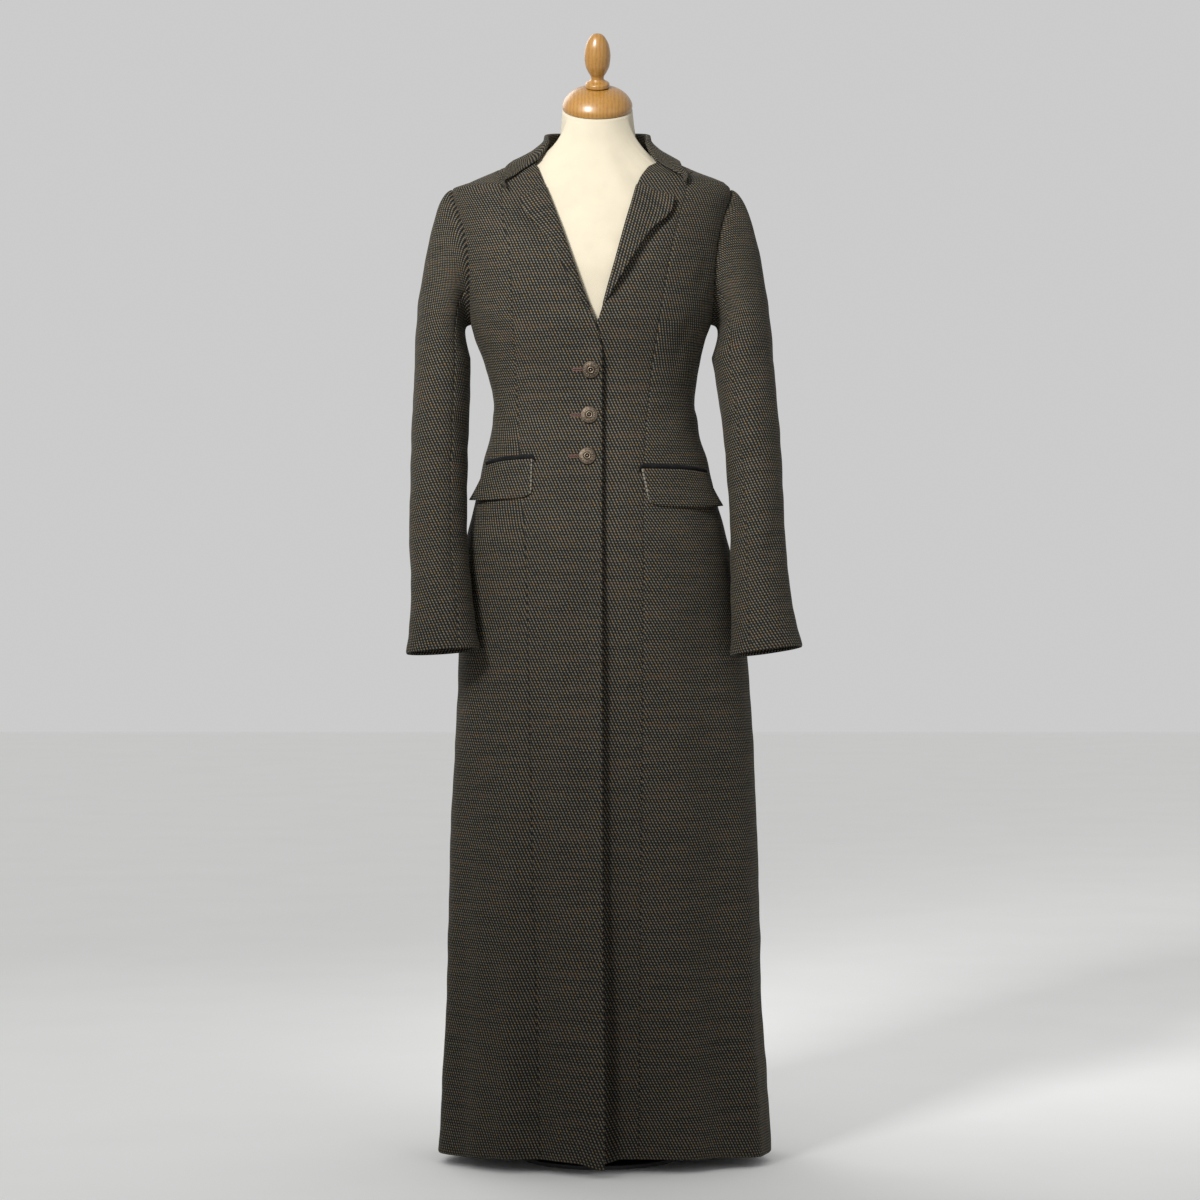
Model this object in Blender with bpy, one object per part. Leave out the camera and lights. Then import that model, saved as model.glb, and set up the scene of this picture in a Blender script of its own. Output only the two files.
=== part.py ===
"""Tweed frock coat on a dress form, built as the pieces a tailor cuts and sews.

Metres, +Z up, floor at z = 0. The coat faces -Y, and the wearer's right side is -X.
Every cloth piece is a flat slab of unit cloth carried onto the coat's outer face.
"""
from math import pi, radians

import bmesh
import bpy
import numpy as np
from mathutils import Matrix, Vector

CLOTH = 0.0022      # thickness of the tweed with its lining
GAP = 0.0004        # between two sewn edges
LAYER = 0.0006      # between a piece and the panel it lies on
LAP = CLOTH + LAYER  # how far the right front stands off the left front it laps
ROUND = 0.9         # power on sine and cosine: a little squarer than an ellipse

# Outer face of the coat: half-widths to each side and depths, ring by ring.
RINGS = (
    # height, right (-X), left (+X), front, back
    (0.014, 0.2160, 0.2330, 0.120, 0.170),
    (0.100, 0.2120, 0.2280, 0.118, 0.163),
    (0.220, 0.2055, 0.2205, 0.117, 0.155),
    (0.360, 0.2040, 0.2175, 0.117, 0.147),
    (0.500, 0.2005, 0.2115, 0.118, 0.139),
    (0.630, 0.1945, 0.2055, 0.119, 0.131),
    (0.700, 0.1920, 0.1990, 0.120, 0.127),
    (0.780, 0.1880, 0.1860, 0.121, 0.124),
    (0.845, 0.1820, 0.1730, 0.121, 0.122),
    (0.900, 0.1680, 0.1580, 0.116, 0.110),
    (0.952, 0.1580, 0.1450, 0.110, 0.095),
    (0.980, 0.1500, 0.1360, 0.107, 0.088),
    (1.007, 0.1455, 0.1320, 0.104, 0.083),
    (1.034, 0.1455, 0.1290, 0.103, 0.080),
    (1.061, 0.1500, 0.1310, 0.106, 0.083),
    (1.088, 0.1580, 0.1360, 0.111, 0.089),
    (1.1155, 0.1690, 0.1430, 0.118, 0.095),
    (1.140, 0.1760, 0.1520, 0.123, 0.099),
    (1.200, 0.1860, 0.1630, 0.126, 0.103),
    (1.250, 0.1920, 0.1690, 0.117, 0.106),
    (1.290, 0.1980, 0.1750, 0.098, 0.101),
    (1.310, 0.2010, 0.1780, 0.082, 0.093),
    (1.3195, 0.2000, 0.1770, 0.072, 0.088),
    (1.3277, 0.1795, 0.1700, 0.066, 0.084),
    (1.3386, 0.1550, 0.1414, 0.060, 0.079),
    (1.349, 0.1290, 0.1170, 0.056, 0.075),
    (1.360, 0.1050, 0.0950, 0.053, 0.072),
    (1.370, 0.0880, 0.0790, 0.051, 0.069),
    (1.385, 0.0730, 0.0660, 0.050, 0.066),
    (1.415, 0.0690, 0.0620, 0.049, 0.064),
)

# Hanging folds of the skirt: out (+) and in (-) at the hem, fading up to FOLD_TOP.
FOLD_TOP = 0.80
FOLDS = (
    # angle, half-width, swing at the hem
    (9.0, 8.0, -0.006), (-21.7, 7.0, -0.008), (-31.5, 7.0, 0.009),
    (27.0, 8.0, 0.009), (47.0, 9.0, -0.010), (60.0, 8.0, 0.009),
    (-62.0, 10.0, -0.007), (-80.0, 10.0, 0.005), (104.0, 10.0, -0.008), (124.0, 10.0, 0.008),
    (146.0, 10.0, -0.009), (165.0, 9.0, 0.008), (-108.0, 11.0, -0.008), (-130.0, 10.0, 0.009),
    (-150.0, 10.0, -0.008), (-169.0, 9.0, 0.007),
)
KICK = (0.0, 9.0, 0.026)    # the right front's lower corner swings out off the left front
HEM = ((-180.0, 0.014), (-70.0, 0.014), (-25.0, 0.019), (-6.0, 0.018), (0.5, 0.012),
       (6.0, 0.020), (30.0, 0.019), (70.0, 0.014), (180.0, 0.014))

# Lines on the fronts, as height and x.
EDGE_RIGHT = ((0.014, 0.003), (1.090, 0.003), (1.126, -0.004), (1.180, -0.024), (1.250, -0.048),
              (1.300, -0.066), (1.330, -0.078), (1.345, -0.0935))
EDGE_LEFT = ((0.014, -0.037), (1.060, -0.037), (1.105, -0.022), (1.126, -0.006), (1.200, 0.0157),
             (1.300, 0.0433), (1.330, 0.0520), (1.345, 0.0850))
PRINCESS_RIGHT = ((0.014, -0.084), (0.500, -0.092), (0.800, -0.098), (1.034, -0.112),
                  (1.235, -0.121), (1.266, -0.129), (1.310, -0.131), (1.345, -0.1305))
PRINCESS_LEFT = ((0.014, 0.053), (0.630, 0.057), (0.940, 0.059), (1.034, 0.066),
                 (1.190, 0.0885), (1.266, 0.104), (1.310, 0.115), (1.345, 0.118))
# Neckline from the roll of the lapels to the middle of the back, as angle and height.
NECKLINE = ((40.0, 1.345), (62.0, 1.356), (78.0, 1.367), (90.0, 1.374), (135.0, 1.372), (180.0, 1.371))
NECK_FRONT = 1.345
PRINCESS_TOP = 1.349

UNDERARM, SHOULDER_TIP = 1.135, 1.3195
ARM_FRONT, ARM_BACK = radians(21.0), radians(30.0)
ARM_ROWS = (1.139, 1.152, 1.178, 1.206, 1.234, 1.262, 1.288, 1.308)

# Heights that all body panels share, so that sewn edges run side by side.
SIDE_ROWS = (0.014, 0.08, 0.16, 0.26, 0.38, 0.52, 0.66, 0.76, 0.845, 0.90, 0.952, 0.98, 1.007,
             1.034, 1.061, 1.088, 1.1155, UNDERARM) + ARM_ROWS + (
             SHOULDER_TIP, 1.3277, 1.3335, 1.3386, 1.345, PRINCESS_TOP)
FRONT_ROWS = SIDE_ROWS + (1.356, 1.3615, 1.367)
BACK_ROWS = FRONT_ROWS + (1.371,)

# Sleeves below the cap: side, then centre and half-sizes of each ring.
SLEEVE_TOP = 1.090
SLEEVES = {
    "right": (
        # height, x, y, half-width, half-depth
        (0.694, -0.2095, -0.094, 0.0465, 0.044), (0.730, -0.2105, -0.086, 0.0435, 0.045),
        (0.780, -0.2125, -0.074, 0.0405, 0.047), (0.870, -0.2176, -0.050, 0.0385, 0.050),
        (0.952, -0.2170, -0.030, 0.0385, 0.053), (1.034, -0.2150, -0.014, 0.0385, 0.057),
        (1.090, -0.2135, -0.004, 0.0385, 0.060),
    ),
    "left": (
        (0.694, 0.2220, -0.090, 0.0460, 0.044), (0.730, 0.2185, -0.084, 0.0430, 0.045),
        (0.780, 0.2140, -0.072, 0.0395, 0.047), (0.870, 0.2115, -0.050, 0.0365, 0.050),
        (0.952, 0.2067, -0.030, 0.0380, 0.053), (1.034, 0.2006, -0.014, 0.0400, 0.057),
        (1.090, 0.1940, -0.004, 0.0415, 0.060),
    ),
}
SLEEVE_ROWS = (1.034, 0.97, 0.90, 0.83, 0.77, 0.73, 0.694)
CAP_ROWS = 6
CUFF_SLOPE = {"right": 0.073, "left": 0.134}   # rise of the cuff towards +X
CUFF_DIP = 0.10                                # fall of the cuff towards the back
SEAM_FRONT, SEAM_BACK = 6.0, 12.0              # sleeve seams, in steps round the armhole

# Lapels: height, then x at the roll and at the outer edge; the top edge runs down by DROP.
LAPEL_RIGHT = ((1.140, -0.0092, -0.0135), (1.171, -0.0207, -0.0290), (1.210, -0.0343, -0.0500),
               (1.250, -0.0480, -0.0725), (1.285, -0.0606, -0.0940), (1.318, -0.0730, -0.1050))
LAPEL_LEFT = ((1.155, 0.0033, 0.0070), (1.180, 0.0100, 0.0200), (1.210, 0.0185, 0.0380),
              (1.250, 0.0295, 0.0640), (1.285, 0.0392, 0.0890), (1.318, 0.0482, 0.0990))
LAPEL_DROP = 0.022

# Collar round the neck, from the front end of one leaf to the back: fold height, leaf edge, its lift.
COLLAR = (
    # angle, fold height, leaf edge height, leaf edge angle, leaf edge lift
    (41.0, 1.353, 1.3140, 35.0, 0.0062),
    (50.0, 1.366, 1.3335, 44.0, 0.0052),
    (62.0, 1.379, 1.3455, 58.0, 0.0046),
    (75.0, 1.388, 1.3515, 73.0, 0.0043),
    (90.0, 1.394, 1.3540, 90.0, 0.0043),
    (135.0, 1.402, 1.3480, 135.0, 0.0043),
    (180.0, 1.405, 1.3430, 180.0, 0.0043),
)
COLLAR_TURN = 0.0032    # radius of the collar's fold

# Pocket flaps with the velvet welt above: x and height of the corners, lift at the far lower corner.
FLAPS = {
    "right": dict(front=(-0.0895, -0.0900), side=(-0.1520, -0.1655), top=(0.9510, 0.9430),
                  bottom=(0.9000, 0.8945), spring=0.0085),
    "left": dict(front=(0.0545, 0.0650), side=(0.1420, 0.1575), top=(0.9375, 0.9330),
                 bottom=(0.8880, 0.8870), spring=0.0065),
}
WELT_HEIGHT = 0.0070

BUTTONS = ((-0.0120, 1.0694), (-0.0140, 1.0083), (-0.0166, 0.9533))
BUTTON_PROFILE = ((0.0, 0.0058), (0.0022, 0.0055), (0.0044, 0.0044), (0.0052, 0.0034), (0.0086, 0.0032),
                  (0.0098, 0.0040), (0.0110, 0.0036), (0.0115, 0.0022), (0.0108, 0.0), (0.0, 0.0))

# Dress form: how far its torso stays inside the coat's cloth, then its neck and the turned wood.
EASE = ((0.80, 0.0060), (1.25, 0.0060), (1.30, 0.0042), (1.3195, 0.0034), (1.345, 0.0034), (1.37, 0.0055))
NAPE_EASE = 0.0006      # the coat hangs on the nape, down the middle of the back
TORSO_FOOT = 0.80
TORSO_ROWS = (0.812, 0.845, 0.90, 0.952, 1.007, 1.034, 1.061, 1.088, 1.1155, 1.14, 1.17, 1.20, 1.23,
              1.26, 1.29, 1.31, 1.3195, 1.3277, 1.3386, 1.349, 1.360)
NECK_RINGS = (
    # x, y, z of the centre, radius, tilt forward in degrees
    (-0.002, 0.004, 1.376, 0.0560, 8.0),
    (-0.003, -0.002, 1.398, 0.0505, 16.0),
    (-0.0035, -0.008, 1.4265, 0.0475, 24.0),
)
CAP_PROFILE = ((0.0, 0.0310), (0.0160, 0.0305), (0.0280, 0.0275), (0.0380, 0.0215), (0.0450, 0.0130),
               (0.0475, 0.0060), (0.0470, 0.0015), (0.0455, 0.0), (0.0, 0.0))
FINIAL_PROFILE = ((0.0, 0.0740), (0.0060, 0.0725), (0.0115, 0.0665), (0.0160, 0.0560), (0.0177, 0.0435),
                  (0.0165, 0.0310), (0.0125, 0.0210), (0.0098, 0.0140), (0.0098, 0.0100), (0.0120, 0.0070),
                  (0.0160, 0.0045), (0.0165, 0.0015), (0.0155, 0.0), (0.0, 0.0))
STAND_Y = 0.030
BASE_PROFILE = ((0.0, 0.0420), (0.0165, 0.0420), (0.0200, 0.0330), (0.0400, 0.0190), (0.0800, 0.0095),
                (0.1070, 0.0065), (0.1100, 0.0045), (0.1100, 0.0), (0.0, 0.0))
POLE_RADIUS = 0.0125

COLOURS = {
    "tweed": (0.075, 0.063, 0.048), "velvet": (0.012, 0.014, 0.022), "pewter": (0.20, 0.17, 0.13),
    "form_cloth": (0.72, 0.66, 0.54), "wood": (0.42, 0.20, 0.07), "iron": (0.03, 0.03, 0.032),
}


def smooth(points, column=1):
    """Function running smoothly, with no overshoot, through one column of a table."""
    xs = np.array([row[0] for row in points], float)
    ys = np.array([row[column] for row in points], float)
    step = np.diff(xs)
    rise = np.diff(ys) / step
    product, total = rise[:-1] * rise[1:], rise[:-1] + rise[1:]
    inner = np.where(product > 0, 2 * product / np.where(product > 0, total, 1.0), 0.0)
    slope = np.concatenate(([rise[0]], inner, [rise[-1]]))

    def at(x):
        x = np.clip(x, xs[0], xs[-1])
        i = np.clip(np.searchsorted(xs, x, side="right") - 1, 0, len(step) - 1)
        t = (x - xs[i]) / step[i]
        bend = slope[i] * t * (1 - t) ** 2 - slope[i + 1] * t * t * (1 - t)
        return ys[i] * (1 + 2 * t) * (1 - t) ** 2 + ys[i + 1] * t * t * (3 - 2 * t) + step[i] * bend

    return at


half_right, half_left, depth_front, depth_back = (smooth(RINGS, column) for column in (1, 2, 3, 4))
hem_height = smooth(HEM)
neckline = smooth(NECKLINE)
form_ease = smooth(EASE)


def fade(x, low, high):
    """0 at low, 1 at high, easing in and out."""
    t = np.clip((x - low) / (high - low), 0.0, 1.0)
    return t * t * (3 - 2 * t)


def folds(z, angle):
    """How far the skirt's hanging folds stand out at a height and angle."""
    degrees = np.degrees(np.arctan2(np.sin(angle), np.cos(angle)))
    total = np.zeros(np.broadcast(z, angle).shape)
    for middle, half, swing in FOLDS:
        off = (degrees - middle + 180.0) % 360.0 - 180.0
        total = total + swing * np.exp(-((off / half) ** 2))
    return total * hang(z)


def hang(z):
    """1 at the hem, 0 where the skirt's folds end."""
    return (1 - fade(z, RINGS[0][0], FOLD_TOP)) ** 1.4


def ring(z, angle):
    """Point of the coat's outer face; angle 0 is the middle of the front, +90 degrees is +X."""
    s, c = np.sin(angle), np.cos(angle)
    x = np.where(s < 0, half_right(z), half_left(z)) * np.sign(s) * np.abs(s) ** ROUND
    y = -np.where(c > 0, depth_front(z), depth_back(z)) * np.sign(c) * np.abs(c) ** ROUND
    spread = 1 + folds(z, angle) / np.hypot(x, y)
    return np.stack([x * spread, y * spread, z + 0.0 * angle], axis=-1)


def normal(z, angle):
    """Outward direction of the coat's outer face."""
    across = ring(z, angle + 0.01) - ring(z, angle - 0.01)
    up = ring(z + 0.002, angle) - ring(z - 0.002, angle)
    out = np.cross(across, up)
    return out / np.linalg.norm(out, axis=-1, keepdims=True)


def skin(z, angle, lift):
    """Point standing a given distance off the coat's outer face."""
    return ring(z, angle) + np.expand_dims(lift + 0.0 * angle, -1) * normal(z, angle)


def angle_at(x, z):
    """Angle of the front half of a ring at which it reaches x."""
    width = np.where(x < 0, half_right(z), half_left(z))
    return np.sign(x) * np.arcsin(np.clip(np.abs(x) / width, 0, 1) ** (1 / ROUND))


def seam_turn(z, angle):
    """Half of a seam's gap, as an angle."""
    reach = np.linalg.norm(ring(z, angle + 0.01) - ring(z, angle - 0.01), axis=-1) / 0.02
    return 0.5 * GAP / reach


def front_lap(z, angle):
    """Lift of the right front where it lies over the left front, below the break of the lapels."""
    x = ring(z, angle)[..., 0]
    middle, half, swing = KICK
    kick = swing * np.exp(-(((np.degrees(angle) - middle) / half) ** 2)) * hang(z) ** 2
    return (LAP + 0.0012 * hang(z)) * fade(x, -0.080, -0.050) * (1 - fade(z, 1.130, 1.165)) + kick


def armhole(z):
    """Angles from the middle of the side to the front and back edges of the armhole."""
    rise = np.clip((z - UNDERARM) / (SHOULDER_TIP - UNDERARM), 0, 1)
    opening = np.sin(pi * rise) ** 0.6
    return ARM_FRONT * opening, ARM_BACK * opening


def new_object(name, bm, slot):
    """Make the mesh an object of the coat's collection, with its material."""
    mesh = bpy.data.meshes.new(name)
    bmesh.ops.recalc_face_normals(bm, faces=bm.faces[:])
    if bm.calc_volume(signed=True) < 0:
        bmesh.ops.reverse_faces(bm, faces=bm.faces[:])
    bm.to_mesh(mesh)
    bm.free()
    material = bpy.data.materials.get(slot) or bpy.data.materials.new(slot)
    material.use_nodes = True
    shader = material.node_tree.nodes["Principled BSDF"]
    shader.inputs["Base Color"].default_value = (*COLOURS[slot], 1.0)
    mesh.materials.append(material)
    obj = bpy.data.objects.new(name, mesh)
    bpy.data.collections["tweed_coat"].objects.link(obj)
    return obj


def cloth(name, across, down, place, slot="tweed"):
    """Carry a flat slab onto the coat: place(u, v, w), with w 0 on its face and 1 on its back."""
    bm = bmesh.new()
    bmesh.ops.create_grid(bm, x_segments=across, y_segments=down, size=0.5)
    bmesh.ops.solidify(bm, geom=bm.faces[:], thickness=1.0)
    flat = np.array([vert.co for vert in bm.verts])
    w = (np.abs(flat[:, 2]) > 0.5).astype(float)
    for vert, spot in zip(bm.verts, place(flat[:, 0] + 0.5, flat[:, 1] + 0.5, w)):
        vert.co = spot
    return new_object(name, bm, slot)


def panel(name, across, rows, edges, lift=None, top=None):
    """Body panel between two edge angles, row by row from the hem, with an optional shaped top."""
    heights = np.array(rows)

    def place(u, v, w):
        z = np.interp(v * (len(rows) - 1), np.arange(len(rows)), heights)
        first, last = edges(z)
        first, last = first + seam_turn(z, first), last - seam_turn(z, last)
        angle = first + (last - first) * u
        z = np.where(v < 1e-6, hem_height(np.degrees(angle)), z)
        if top is not None:
            z = np.where(v > 1 - 1e-6, top(angle), z)
        raised = lift(z, angle) if lift else 0.0
        return skin(z, angle, raised - CLOTH * w)

    return cloth(name, across, len(rows) - 1, place)


def make_body():
    """Fronts, side fronts and backs."""
    neck_angle = smooth([(z, a) for a, z in NECKLINE[:4]])
    for name, sign, edge, princess in (("right", -1, EDGE_RIGHT, PRINCESS_RIGHT),
                                       ("left", 1, EDGE_LEFT, PRINCESS_LEFT)):
        edge_x, princess_x = smooth(edge), smooth(princess)

        def opening(z, sign=sign, edge_x=edge_x):
            roll = angle_at(edge_x(z), z)
            return np.where(z > NECK_FRONT, sign * np.radians(neck_angle(z)), roll)

        def seam(z, sign=sign, princess_x=princess_x):
            line = angle_at(princess_x(z), z)
            return line + (sign * pi / 2 - line) * fade(z, 1.335, PRINCESS_TOP + 0.002)

        def side(z, sign=sign):
            return sign * (pi / 2 - armhole(z)[0])

        def rear(z, sign=sign):
            return sign * (pi / 2 + armhole(z)[1])

        def ordered(one, two, sign=sign):
            return (lambda z: (one(z), two(z))) if sign > 0 else (lambda z: (two(z), one(z)))

        panel(f"front_{name}", 6, FRONT_ROWS, ordered(opening, seam), front_lap if sign < 0 else None)
        panel(f"side_{name}", 6, SIDE_ROWS, ordered(seam, side))
        panel(f"back_{name}", 9, BACK_ROWS, ordered(rear, lambda z, sign=sign: sign * pi + 0.0 * z),
              top=lambda angle: neckline(np.degrees(np.abs(angle))) - GAP / 2)


def armhole_loop(sign):
    """Points of the sleeve's head just inside the armhole: down the front, then up the back."""
    rows = np.array(ARM_ROWS)
    ahead, behind = armhole(rows)
    z = np.concatenate(([SHOULDER_TIP - GAP], rows[::-1], [UNDERARM + GAP], rows))
    side = pi / 2
    angle = np.concatenate(([side], (side - ahead)[::-1], [side], side + behind))
    inset = np.concatenate(([0], np.ones(len(rows)), [0], -np.ones(len(rows))))
    angle = sign * (angle + inset * 2 * seam_turn(z, sign * angle))
    return ring(z, angle)


def make_sleeves():
    """Two-piece sleeves: a head set in the armhole, bending down into a tube."""
    for name, sign in (("right", -1), ("left", 1)):
        loop = armhole_loop(sign)
        count = len(loop)
        column = [smooth(SLEEVES[name], i) for i in (1, 2, 3, 4)]
        slope = CUFF_SLOPE[name]

        def tube(k, z):
            x, y, half_w, half_d = (c(z) for c in column)
            turn = 2 * pi * k / count
            dx, dy = sign * half_w * np.cos(turn), -half_d * np.sin(turn)
            tilt = (slope * dx - CUFF_DIP * dy) * (1 - fade(z, SLEEVE_ROWS[-1], 0.95))
            return np.stack([x + dx, y + dy, z + tilt], axis=-1)

        def head(k, t):
            low = np.floor(k).astype(int)
            part = np.expand_dims(k - low, -1)
            start = loop[low % count] * (1 - part) + loop[(low + 1) % count] * part
            end = tube(k, SLEEVE_TOP + 0.0 * k)
            high = np.cos(2 * pi * k / count)
            out = np.stack([sign * (0.020 + 0.004 * high), 0.0 * k, 0.001 * (1 - high)], axis=-1)
            rise = np.stack([-sign * 0.004 * high, 0.0 * k, 0.062 + 0.048 * high], axis=-1)
            t = np.expand_dims(t, -1)
            return ((1 - t) ** 3 * start + 3 * t * (1 - t) ** 2 * (start + out)
                    + 3 * t * t * (1 - t) * (end + rise) + t ** 3 * end)

        def face(k, row):
            z = np.interp(row, CAP_ROWS + np.arange(len(SLEEVE_ROWS) + 1), (SLEEVE_TOP,) + SLEEVE_ROWS)
            in_head = np.expand_dims(row < CAP_ROWS, -1)
            return np.where(in_head, head(k, np.clip(row / CAP_ROWS, 0, 1)), tube(k, z))

        def wall(k, row, w):
            round_step = face(k + 0.5, row) - face(k - 0.5, row)
            low, high = np.maximum(row - 0.1, 0), np.minimum(row + 0.1, CAP_ROWS + len(SLEEVE_ROWS))
            down_step = face(k, high) - face(k, low)
            outward = sign * np.cross(round_step, down_step)
            outward = outward / np.linalg.norm(outward, axis=-1, keepdims=True)
            return face(k, row) - np.expand_dims(CLOTH * w, -1) * outward

        down = CAP_ROWS + len(SLEEVE_ROWS)
        edge = 0.018
        for part, first, last in (("upper", SEAM_BACK - count, SEAM_FRONT), ("under", SEAM_FRONT, SEAM_BACK)):
            def place(u, v, w, first=first + edge, last=last - edge):
                return wall(first + (last - first) * u, v * down, w)

            cloth(f"sleeve_{name}_{part}", int(last - first), down, place)


def make_lapels():
    """Lapels turned back on the fronts along the roll."""
    for name, table, lap in (("right", LAPEL_RIGHT, front_lap), ("left", LAPEL_LEFT, None)):
        roll, outer = smooth(table, 1), smooth(table, 2)

        def place(u, v, w, table=table, roll=roll, outer=outer, lap=lap):
            z = table[0][0] + (table[-1][0] - table[0][0]) * v
            x = roll(z) + (outer(z) - roll(z)) * u
            z = z - LAPEL_DROP * u * fade(v, 0.55, 1.0)
            angle = angle_at(x, z)
            raised = 2 * LAYER + CLOTH * (1 - w) + 0.002 * u * v
            return skin(z, angle, raised + (lap(z, angle) if lap else 0.0))

        cloth(f"lapel_{name}", 4, 12, place)


def make_collar():
    """One collar: a stand on the neckline, a fold, and a leaf lying over the shoulders."""
    fold, edge, edge_angle, edge_lift = (smooth(COLLAR, i) for i in (1, 2, 3, 4))
    path = (0.0, 0.5, 1.0, 2.0, 3.0, 4.0, 5.0, 6.0, 7.0, 8.0)

    def face(s, q):
        degrees = 180.0 - (180.0 - COLLAR[0][0]) * np.abs(s)
        top, foot = fold(degrees), neckline(degrees) + 2 * GAP
        shoulder = top - COLLAR_TURN
        turn = np.clip((q - 1.0) / 3.0, 0, 1) * pi
        fall = np.clip((q - 4.0) / 4.0, 0, 1)
        rise = np.clip(q, 0, 1)
        z = np.where(q <= 1.0, foot + (shoulder - foot) * rise, shoulder + COLLAR_TURN * np.sin(turn))
        z = np.where(q > 4.0, shoulder + (edge(degrees) - shoulder) * fall, z)
        lift = -CLOTH + COLLAR_TURN * (1 - np.cos(turn))
        spread = lift + (edge_lift(degrees) - lift) * fall
        angle = degrees + (edge_angle(degrees) - degrees) * fall
        return skin(z, -np.sign(s) * np.radians(angle) + pi * (np.abs(s) < 1e-9), spread)

    def place(u, v, w):
        s, q = 2 * u - 1, np.interp(v * (len(path) - 1), np.arange(len(path)), path)
        along = face(np.minimum(s + 0.01, 1.0), q) - face(np.maximum(s - 0.01, -1.0), q)
        over = face(s, np.minimum(q + 0.05, 8.0)) - face(s, np.maximum(q - 0.05, 0.0))
        inside = np.cross(along, over)
        inside = inside / np.linalg.norm(inside, axis=-1, keepdims=True)
        return face(s, q) + np.expand_dims(CLOTH * w, -1) * inside

    cloth("collar", 28, len(path) - 1, place)


def make_pockets():
    """Pocket flaps springing off the hips, each under a velvet welt."""
    for name, flap in FLAPS.items():
        def corner(key, u):
            return flap[key][0] + (flap[key][1] - flap[key][0]) * u

        def drop(u, v, w):
            z = corner("top", u) + (corner("bottom", u) - corner("top", u)) * v
            front, side = corner("front", v), corner("side", v)
            angle = angle_at(front, z) + (angle_at(side, z) - angle_at(front, z)) * u
            spring = 0.0010 * v + flap["spring"] * v ** 1.5 * u ** 2
            return skin(z, angle, LAYER + CLOTH * (1 - w) + spring)

        def strip(u, v, w):
            z = corner("top", u) + GAP + WELT_HEIGHT * v
            front, side = flap["front"][0], flap["side"][0]
            angle = angle_at(front, z) + (angle_at(side, z) - angle_at(front, z)) * u
            return skin(z, angle, LAYER + CLOTH * (1 - w))

        cloth(f"flap_{name}", 8, 4, drop)
        cloth(f"welt_{name}", 8, 1, strip, "velvet")


def turned(name, profile, slot, steps, frame=Matrix()):
    """Body of revolution from a (radius, height) profile, set in a frame whose Z is its axis."""
    bm = bmesh.new()
    verts = [bm.verts.new((radius, 0.0, height)) for radius, height in profile]
    edges = [bm.edges.new(pair) for pair in zip(verts, verts[1:])]
    bmesh.ops.spin(bm, geom=verts + edges, cent=(0, 0, 0), axis=(0, 0, 1), angle=2 * pi, steps=steps)
    bmesh.ops.remove_doubles(bm, verts=bm.verts[:], dist=1e-6)
    bmesh.ops.transform(bm, matrix=frame, verts=bm.verts[:])
    return new_object(name, bm, slot)


def make_buttons():
    """Three domed buttons down the lapped edge."""
    for number, (x, z) in enumerate(BUTTONS, start=1):
        angle = angle_at(np.array(x), np.array(z))
        out = normal(np.array(z), angle)
        seat = skin(np.array(z), angle, front_lap(np.array(z), angle) + 0.0007)
        frame = Matrix.Translation(Vector(seat)) @ Vector(out).to_track_quat("Z", "Y").to_matrix().to_4x4()
        turned(f"button_{number}", BUTTON_PROFILE, "pewter", 16, frame)


def neck_ring(index, angle):
    """Tilted ring of the form's neck."""
    x, y, z, radius, tilt = NECK_RINGS[index]
    ahead = radius * np.cos(angle)
    return np.stack([x + radius * np.sin(angle), y - ahead * np.cos(radians(tilt)),
                     z - ahead * np.sin(radians(tilt))], axis=-1)


def make_form():
    """Cloth-covered torso that carries the coat, with its turned neck cap and finial."""
    rings = 2 + len(TORSO_ROWS) + len(NECK_RINGS)
    bm = bmesh.new()
    bmesh.ops.create_uvsphere(bm, u_segments=32, v_segments=rings + 1, radius=1.0)
    for vert in bm.verts:
        level = round((np.arcsin(np.clip(vert.co.z, -1, 1)) / pi + 0.5) * (rings + 1))
        angle = np.arctan2(vert.co.x, -vert.co.y)
        if level == 0:
            vert.co = (0.0, STAND_Y, TORSO_FOOT)
        elif level == rings + 1:
            vert.co = NECK_RINGS[-1][:3]
        elif level <= 2:
            z = np.array(TORSO_FOOT)
            spot = skin(z, angle, -CLOTH - form_ease(z) - 0.008)
            share = 0.35 if level == 1 else 1.0
            vert.co = (spot[0] * share, STAND_Y + (spot[1] - STAND_Y) * share, spot[2] if level == 2 else TORSO_FOOT)
        elif level <= 2 + len(TORSO_ROWS):
            z = np.array(TORSO_ROWS[level - 3])
            nape = fade(z, 1.25, 1.30) * np.exp(-((pi - abs(angle)) / radians(4.0)) ** 2)
            vert.co = skin(z, angle, -CLOTH - form_ease(z) + (form_ease(z) - NAPE_EASE) * nape)
        else:
            vert.co = neck_ring(level - 3 - len(TORSO_ROWS), angle)
    new_object("form_torso", bm, "form_cloth")

    x, y, z, _, tilt = NECK_RINGS[-1]
    lean = Matrix.Translation((x, y, z)) @ Matrix.Rotation(radians(tilt), 4, "X")
    turned("form_neck_cap", CAP_PROFILE, "wood", 28, lean @ Matrix.Translation((0, 0, GAP)))
    turned("form_finial", FINIAL_PROFILE, "wood", 20, lean @ Matrix.Translation((0, 0, CAP_PROFILE[0][1] + 2 * GAP)))


def make_stand():
    """Pole and weighted foot under the form."""
    spot = Matrix.Translation((0, STAND_Y, 0))
    low, high = BASE_PROFILE[0][1] + GAP, TORSO_FOOT - GAP
    turned("stand_base", BASE_PROFILE, "iron", 32, spot)
    turned("stand_pole", ((0, high), (POLE_RADIUS, high), (POLE_RADIUS, low), (0, low)), "iron", 20, spot)


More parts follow.
